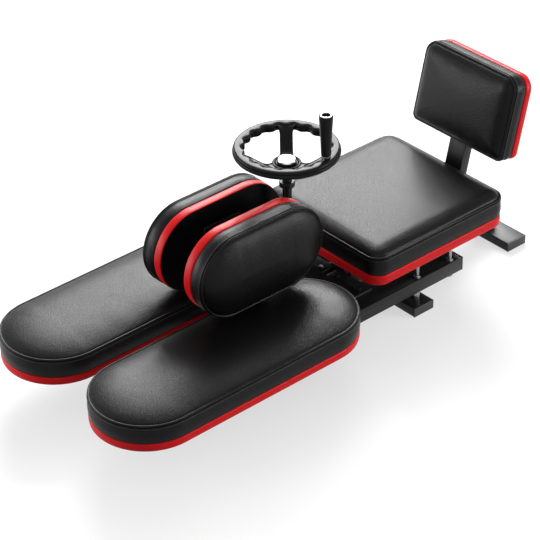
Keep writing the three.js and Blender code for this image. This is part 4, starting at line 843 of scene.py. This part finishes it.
def stuffed(name, rings, free):
    """How far each point of a cover is pushed out by its foam, from a cloth simulation on an even mesh."""
    voxel = 0.006
    farthest = 0.003
    hold_reach = 0.012
    last_frame = 20
    smoothing_rounds = 14
    trial = bpy.data.objects.new(name + "_trial", skin(name + "_trial", rings))
    bpy.context.collection.objects.link(trial)
    even = trial.modifiers.new("even", "REMESH")
    even.mode = "VOXEL"
    even.voxel_size = voxel
    graph = bpy.context.evaluated_depsgraph_get()
    mesh = bpy.data.meshes.new_from_object(trial.evaluated_get(graph), depsgraph=graph)
    trial.modifiers.clear()
    trial.data = mesh
    rest = np.array([v.co for v in mesh.vertices])
    fixed = rings[free < 0.05].reshape(-1, 3)
    tree = kdtree.KDTree(len(fixed))
    for n, p in enumerate(fixed):
        tree.insert(p, n)
    tree.balance()
    held = trial.vertex_groups.new(name="held")
    for n, p in enumerate(rest):
        gap = tree.find(p)[2]
        on_board = p[2] < 0.004
        held.add([n], 1.0 if on_board else max(0.0, 1.0 - gap / hold_reach), "REPLACE")
    cloth = trial.modifiers.new("foam", "CLOTH")
    cloth.settings.use_pressure = True
    cloth.settings.uniform_pressure_force = 4.0
    cloth.settings.vertex_group_mass = "held"
    cloth.settings.shrink_min = -0.012
    cloth.settings.effector_weights.gravity = 0.0
    scene = bpy.context.scene
    for step in range(1, last_frame + 1):
        scene.frame_set(step)
    graph = bpy.context.evaluated_depsgraph_get()
    pushed = np.array([v.co for v in trial.evaluated_get(graph).data.vertices])
    scene.frame_set(1)
    bpy.data.objects.remove(trial)
    move = pushed - rest
    length = np.linalg.norm(move, axis=1, keepdims=True)
    move *= farthest / np.maximum(farthest, length)
    tree = kdtree.KDTree(len(rest))
    for n, p in enumerate(rest):
        tree.insert(p, n)
    tree.balance()
    flat = rings.reshape(-1, 3)
    ease = np.repeat(free, rings.shape[1])
    out = np.zeros_like(flat)
    for n in np.nonzero(ease > 0)[0]:
        near = tree.find_n(flat[n], 10)
        weight = np.array([math.exp(-(d / voxel) ** 2 / 2) + 1e-9 for _, _, d in near])
        out[n] = (move[[m for _, m, _ in near]] * weight[:, None]).sum(0) / weight.sum() * ease[n]
    out = out.reshape(rings.shape)
    for _ in range(smoothing_rounds):
        around = (np.roll(out, 1, 1) + np.roll(out, -1, 1)) / 2
        across = out.copy()
        across[1:-1] = (out[:-2] + out[2:]) / 2
        out = (out + around + across) / 3 * (free[:, None, None] > 0)
    return out


def puckers(rings, wall, seed):
    """Small uneven pull of the seam on the leather beside it."""
    reach, depth = 0.005, 0.00022
    rng = np.random.default_rng(seed)
    count = rings.shape[1]
    around = np.arange(count) / count * 2 * np.pi
    wave = sum(
        rng.uniform(0.4, 1.0) * np.sin(k * around + rng.uniform(0, 6.28))
        for k in rng.integers(count // 9, count // 4, 9)
    ) / 4
    near = np.exp(-(((rings[..., 2] - wall) / reach) ** 2))
    out = np.zeros_like(rings)
    out[..., 2] = near * wave[None, :] * depth
    return out


def stitch_item():
    """One tight stitch of black thread, lying along X with its middle proud."""
    half_length, half_width, half_height = 0.00165, 0.00042, 0.00034
    turn = np.linspace(0, 2 * np.pi, 6, endpoint=False)
    rings = []
    for along, thick, rise in (
        (-1.0, 0.35, -0.5), (-0.7, 0.85, 0.0), (0.0, 1.0, 0.2), (0.7, 0.85, 0.0), (1.0, 0.35, -0.5),
    ):
        rings.append([
            (along * half_length, half_width * thick * math.cos(t),
             half_height * (thick * math.sin(t) + rise))
            for t in turn
        ])
    return skin("stitch", rings, False, 80.0)


def bonded_thread():
    """Black bonded polyester thread with its twist showing."""
    material, place = finish("black_bonded_thread")
    twist = place.noise(3.5, 2.0)
    return coat(material, {
        "Base Color": twist.blend((0.012, 0.012, 0.013), (0.03, 0.03, 0.032)),
        "Roughness": 0.42 + twist * 0.2,
        "Normal": twist.relief(0.00005),
    })


def lining_cloth():
    """Black non-woven lining cloth with pressed dots and loose fibres."""
    material, place = finish("black_lining_cloth")
    grid = {"Vector": place, "Scale": 0.8, "Randomness": 0.25}
    dots = place.node("TexVoronoi", {"feature": "F1"}, grid, "Distance")
    fibre = place.noise(1.4, 6.0, 0.7)
    return coat(material, {
        "Base Color": fibre.blend((0.008, 0.008, 0.0085), (0.02, 0.02, 0.021)),
        "Roughness": 0.75 + fibre * 0.2,
        "Normal": (dots.ramp((0.1, 0.0), (0.35, 1.0)) * 0.6 + fibre * 0.4).relief(0.0001),
    })


stitch = stitch_item()
thread_black = bonded_thread()
lining = lining_cloth()
staple_wire = plated("staple_wire", (0.62, 0.63, 0.65), rough=0.2, speckle=0.1)


def staple_item():
    """Crown of one driven staple along X."""
    half_length, half_width, half_height = 0.0045, 0.00045, 0.0003
    corners = ((-1, -1), (1, -1), (1, 1), (-1, 1))
    rings = []
    for along, rise in ((-1.0, -0.9), (-0.98, 0.1), (-0.9, 0.5), (0.9, 0.5), (0.98, 0.1), (1.0, -0.9)):
        rings.append([
            (along * half_length, half_width * side, half_height * (level * 0.6 + rise))
            for side, level in corners
        ])
    return skin("staple", rings, False, 30.0)


staple = staple_item()


def pad(name, size, board, foot, wall, crown, count, matrix, body, nodes, leather_back=False, mirror=False):
    """A whole pad in its own frame, standing on z = 0: red wrapped board, lining or back, cover, stitches.

    size is the half width, half length, corner radius and lower corner radius, board the board's height,
    foot the height at which the cover starts, and nodes the board and cushion of the part.
    """
    edge, away, inward = np.split(outline(*size, count), 3, axis=1)
    high = board * 1000
    band_rows = [(2.4, 0.0), (1.2, 0.25), (0.45, 0.9), (0.05, 2.2)]
    band_rows += [(-0.55 * math.sin(math.pi * s), 2.2 + s * (high - 4.2)) for s in (0.2, 0.4, 0.6, 0.8)]
    band_rows += [(0.1, high - 2.0), (0.55, high - 0.8), (1.4, high - 0.15), (2.6, high)]
    start = 0.8 if leather_back else 8.2
    hem_rows = [(start + 0.8, 0.0), (start + 0.2, -0.02), (start, -0.12), (start + 0.3, -0.22)]
    hem_rows += [(start + 1.2, -0.26)]
    stitch_drop, stitch_inset = 0.0072, 0.0001
    staple_inset, staple_height = 0.013, -0.00025

    def level(inset, z):
        return np.column_stack([edge + inward * inset, np.full(count, z)])

    def wrapped(rows):
        return np.array([level(inset / 1000, z / 1000) for inset, z in rows])

    def put(mesh):
        mesh.transform(matrix)
        if mirror:
            mesh.transform(Matrix.Scale(-1, 4, (1, 0, 0)))
            mesh.flip_normals()
        return mesh

    def move(points, direction=False):
        moved = np.asarray(points) @ np.array(matrix.to_3x3()).T
        if not direction:
            moved = moved + np.array(matrix.translation)
        return moved * (np.array([-1, 1, 1]) if mirror else 1)

    rings, free = cover_rings(*size, wall, crown, count)
    rings = rings + stuffed(name, rings, free)
    rings = rings + puckers(rings, wall, len(name) + count)
    rings[..., 2] += foot

    board_node, cushion_node = nodes
    band = put(skin(name + "_band", wrapped(band_rows), False, 50.0))
    place_piece(name + "_red_band", band, red_vinyl, body, "leather_red", board_node)
    cover = put(skin(name + "_cover", rings, False, 75.0))
    cover = place_piece(name + "_cover", cover, black_leather, body, "leather_black", cushion_node)
    sheet = put(skin(name + "_lining", wrapped(hem_rows), False, 30.0))
    place_piece(name + "_lining", sheet, black_leather if leather_back else lining, body, "leather_black")
    seam = move(level(stitch_inset, foot + wall - stitch_drop))
    out = move(np.column_stack([away, np.zeros(count)]), direction=True)
    set_along(name + "_stitches", seam, out, stitch, thread_black, body, "leather_black", 0.0042, 0.03, 5)
    if not leather_back:
        line = move(level(staple_inset, staple_height))
        down = move(np.tile([0.0, 0.0, -1.0], (count, 1)), direction=True)
        set_along(name + "_staples", line, down, staple, staple_wire, body, "steel", 0.034, 0.09, 8)


low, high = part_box("seat_base")
standing = Matrix.Translation(((low.x + high.x) / 2, (low.y + high.y) / 2, low.z))
pad(
    "seat", size=(0.168, 0.178, 0.032, 0.032), board=high.z - low.z, foot=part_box("seat_cushion")[0].z - low.z,
    wall=0.0402, crown=0.0145, count=320, matrix=standing, body="base", nodes=("seat_base", "seat_cushion"),
)

# Leg pads: two long pads with round ends, one on each swinging arm, made like the seat. The crown runs
# right across them, so the leg rests in the middle. The right one is the left one's mirror image.
LEG_HALF = 0.1072
low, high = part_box("leg_base_left")
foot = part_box("leg_cushion_left")[0].z - low.z
standing = Matrix.Translation(((low.x + high.x) / 2, (low.y + high.y) / 2, low.z))
for side in ("left", "right"):
    pad(
        "leg_" + side, size=(LEG_HALF, 0.2941, LEG_HALF, LEG_HALF), board=high.z - low.z, foot=foot,
        wall=0.0393, crown=0.012, count=352, matrix=standing, body="leg_" + side,
        nodes=("leg_base_" + side, "leg_cushion_" + side), mirror=side == "right",
    )

# Upright pads: a pair of rounded pads that stand on the inner side of each leg and keep the knees
# apart. They face outwards, and black leather closes their backs.
UPRIGHT_HALF = 0.0852
low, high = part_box("upright_base_left")
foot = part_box("upright_cushion_left")[0].x - low.x
middle_y, middle_z = (low.y + high.y) / 2, (low.z + high.z) / 2
on_edge = Matrix(((0, 0, 1, low.x), (1, 0, 0, middle_y), (0, 1, 0, middle_z), (0, 0, 0, 1)))
for side in ("left", "right"):
    pad(
        "upright_" + side, size=(0.14935, UPRIGHT_HALF, UPRIGHT_HALF, UPRIGHT_HALF), board=high.x - low.x,
        foot=foot, wall=0.0314, crown=0.018, count=240, matrix=on_edge, body="leg_" + side,
        nodes=("upright_base_" + side, "upright_cushion_" + side), leather_back=True, mirror=side == "right",
    )

# Backrest: a small square pad that leans back behind the seat, on a rectangular steel post that slides
# into a welded socket on the spine.
LEAN = 0.24
board_corners = [v.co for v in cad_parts["back_base"].data.vertices]
up = Vector((0, math.sin(LEAN), math.cos(LEAN)))
front = Vector((0, -math.cos(LEAN), math.sin(LEAN)))
heights = [corner.dot(up) for corner in board_corners]
depths = [corner.dot(front) for corner in board_corners]
origin = up * ((min(heights) + max(heights)) / 2) + front * min(depths)
leaning = Matrix((
    (1, up.x, front.x, origin.x), (0, up.y, front.y, origin.y), (0, up.z, front.z, origin.z), (0, 0, 0, 1),
))
pad(
    "back", size=(0.1243, 0.0875, 0.030, 0.013), board=max(depths) - min(depths), foot=0.016,
    wall=0.0311, crown=0.015, count=208, matrix=leaning, body="base", nodes=("back_base", "back_cushion"),
    leather_back=True,
)

# Studio: a pale floor under five soft boxes. The strongest stands behind the machine on its left, and the
# weakest near the camera fills the shade. The camera stands where the photograph was taken from.


def looked_at(wire):
    """1 for a ray that the eye, a polished surface or glass looks along, and 0 for scattered light."""
    eye = wire.node("LightPath", out="Is Camera Ray")
    mirror = wire.node("LightPath", out="Is Glossy Ray")
    through = wire.node("LightPath", out="Is Transmission Ray")
    return wire.math("MAXIMUM", wire.math("MAXIMUM", eye, mirror), through)


def pale_floor():
    """White floor that keeps the shadow, looks alike in reflections, and stays white far off."""
    material, place = finish("white_floor")
    seen = looked_at(place)
    away = place.node("VectorMath", {"operation": "LENGTH"}, {0: place}, "Value")
    far = (away * 0.0001).ramp((0.1, 0.0), (0.32, 1.0))
    return coat(material, {
        "Base Color": seen.blend((0.2, 0.2, 0.2), (0.4, 0.4, 0.4)),
        "Roughness": 0.9,
        "Specular IOR Level": 0.0,
        "Emission Color": seen * (0.58 + far * 0.28),
        "Emission Strength": 1.0,
    })


FLOOR_HALF = 9
FLOOR_Z = -0.0005
floor_corners = [(x * FLOOR_HALF, y * FLOOR_HALF, FLOOR_Z) for x, y in ((-1, -1), (1, -1), (1, 1), (-1, 1))]
floor_mesh = bpy.data.meshes.new("floor")
floor_mesh.from_pydata(floor_corners, [], [(0, 1, 2, 3)])
floor_mesh.materials.append(pale_floor())
floor = bpy.data.objects.new("floor", floor_mesh)
bpy.context.collection.objects.link(floor)

world = bpy.data.worlds.new("studio")
bpy.context.scene.world = world
world.use_nodes = True
world.node_tree.nodes.clear()
seen = looked_at(Wire(world.node_tree))
sky = seen.blend((0.42, 0.42, 0.42), (1.0, 1.0, 1.0))
glow = seen.node("Background", {}, {"Color": sky, "Strength": 1.0})
world_output = world.node_tree.nodes.new("ShaderNodeOutputWorld")
world.node_tree.links.new(glow.socket, world_output.inputs["Surface"])


def softbox(name, place, target, width, height, power):
    """Rectangular soft light that looks at a point."""
    lamp = bpy.data.lights.new(name, "AREA")
    lamp.shape = "RECTANGLE"
    lamp.size = width
    lamp.size_y = height
    lamp.energy = power
    box = bpy.data.objects.new(name, lamp)
    bpy.context.collection.objects.link(box)
    place, target = Vector(place), Vector(target)
    box.rotation_euler = (place - target).to_track_quat("Z", "Y").to_euler()
    box.location = place


softbox("back_box", (-2.6, 2.25, 2.35), (0, 0, 0.15), width=2.3, height=1.5, power=275.0)
softbox("high_box", (-1.5, 1.4, 3.0), (0, 0, 0.15), width=2.4, height=1.8, power=40.0)
softbox("left_box", (-2.15, -2.05, 0.66), (0, 0.4, 0.34), width=2.2, height=1.0, power=62.0)
softbox("right_box", (3.2, 2.8, 0.9), (0, 0, 0.2), width=1.6, height=1.4, power=125.0)
softbox("camera_box", (3.3, -2.9, 3.1), (0, 0, 0.1), width=2.8, height=2.8, power=30.0)

AZIMUTH = math.radians(48.99)
ELEVATION = math.radians(33.56)
ROLL = math.radians(-0.80)
CAMERA = (2.755, -2.4329, 2.5705)
PICTURE = 540.0
FOCAL_LENGTH = 2283.0
PRINCIPAL = (272.9, 269.7)
SENSOR = 36.0
flat = math.cos(ELEVATION)
back = Vector((math.sin(AZIMUTH) * flat, -math.cos(AZIMUTH) * flat, math.sin(ELEVATION)))
right = Vector((math.cos(AZIMUTH), math.sin(AZIMUTH), 0))
top = back.cross(right)
rolled = right * math.cos(ROLL) + top * math.sin(ROLL)
upright = top * math.cos(ROLL) - right * math.sin(ROLL)
lens = bpy.data.cameras.new("camera")
lens.sensor_width = SENSOR
lens.sensor_fit = "HORIZONTAL"
lens.lens = FOCAL_LENGTH / PICTURE * SENSOR
lens.shift_x = 0.5 - PRINCIPAL[0] / PICTURE
lens.shift_y = PRINCIPAL[1] / PICTURE - 0.5
lens.clip_end = 60.0
camera = bpy.data.objects.new("camera", lens)
bpy.context.collection.objects.link(camera)
turned_to = Matrix((rolled, upright, back)).transposed()
camera.matrix_world = Matrix.Translation(CAMERA) @ turned_to.to_4x4()
scene = bpy.context.scene
scene.camera = camera
scene.view_settings.view_transform = "Standard"
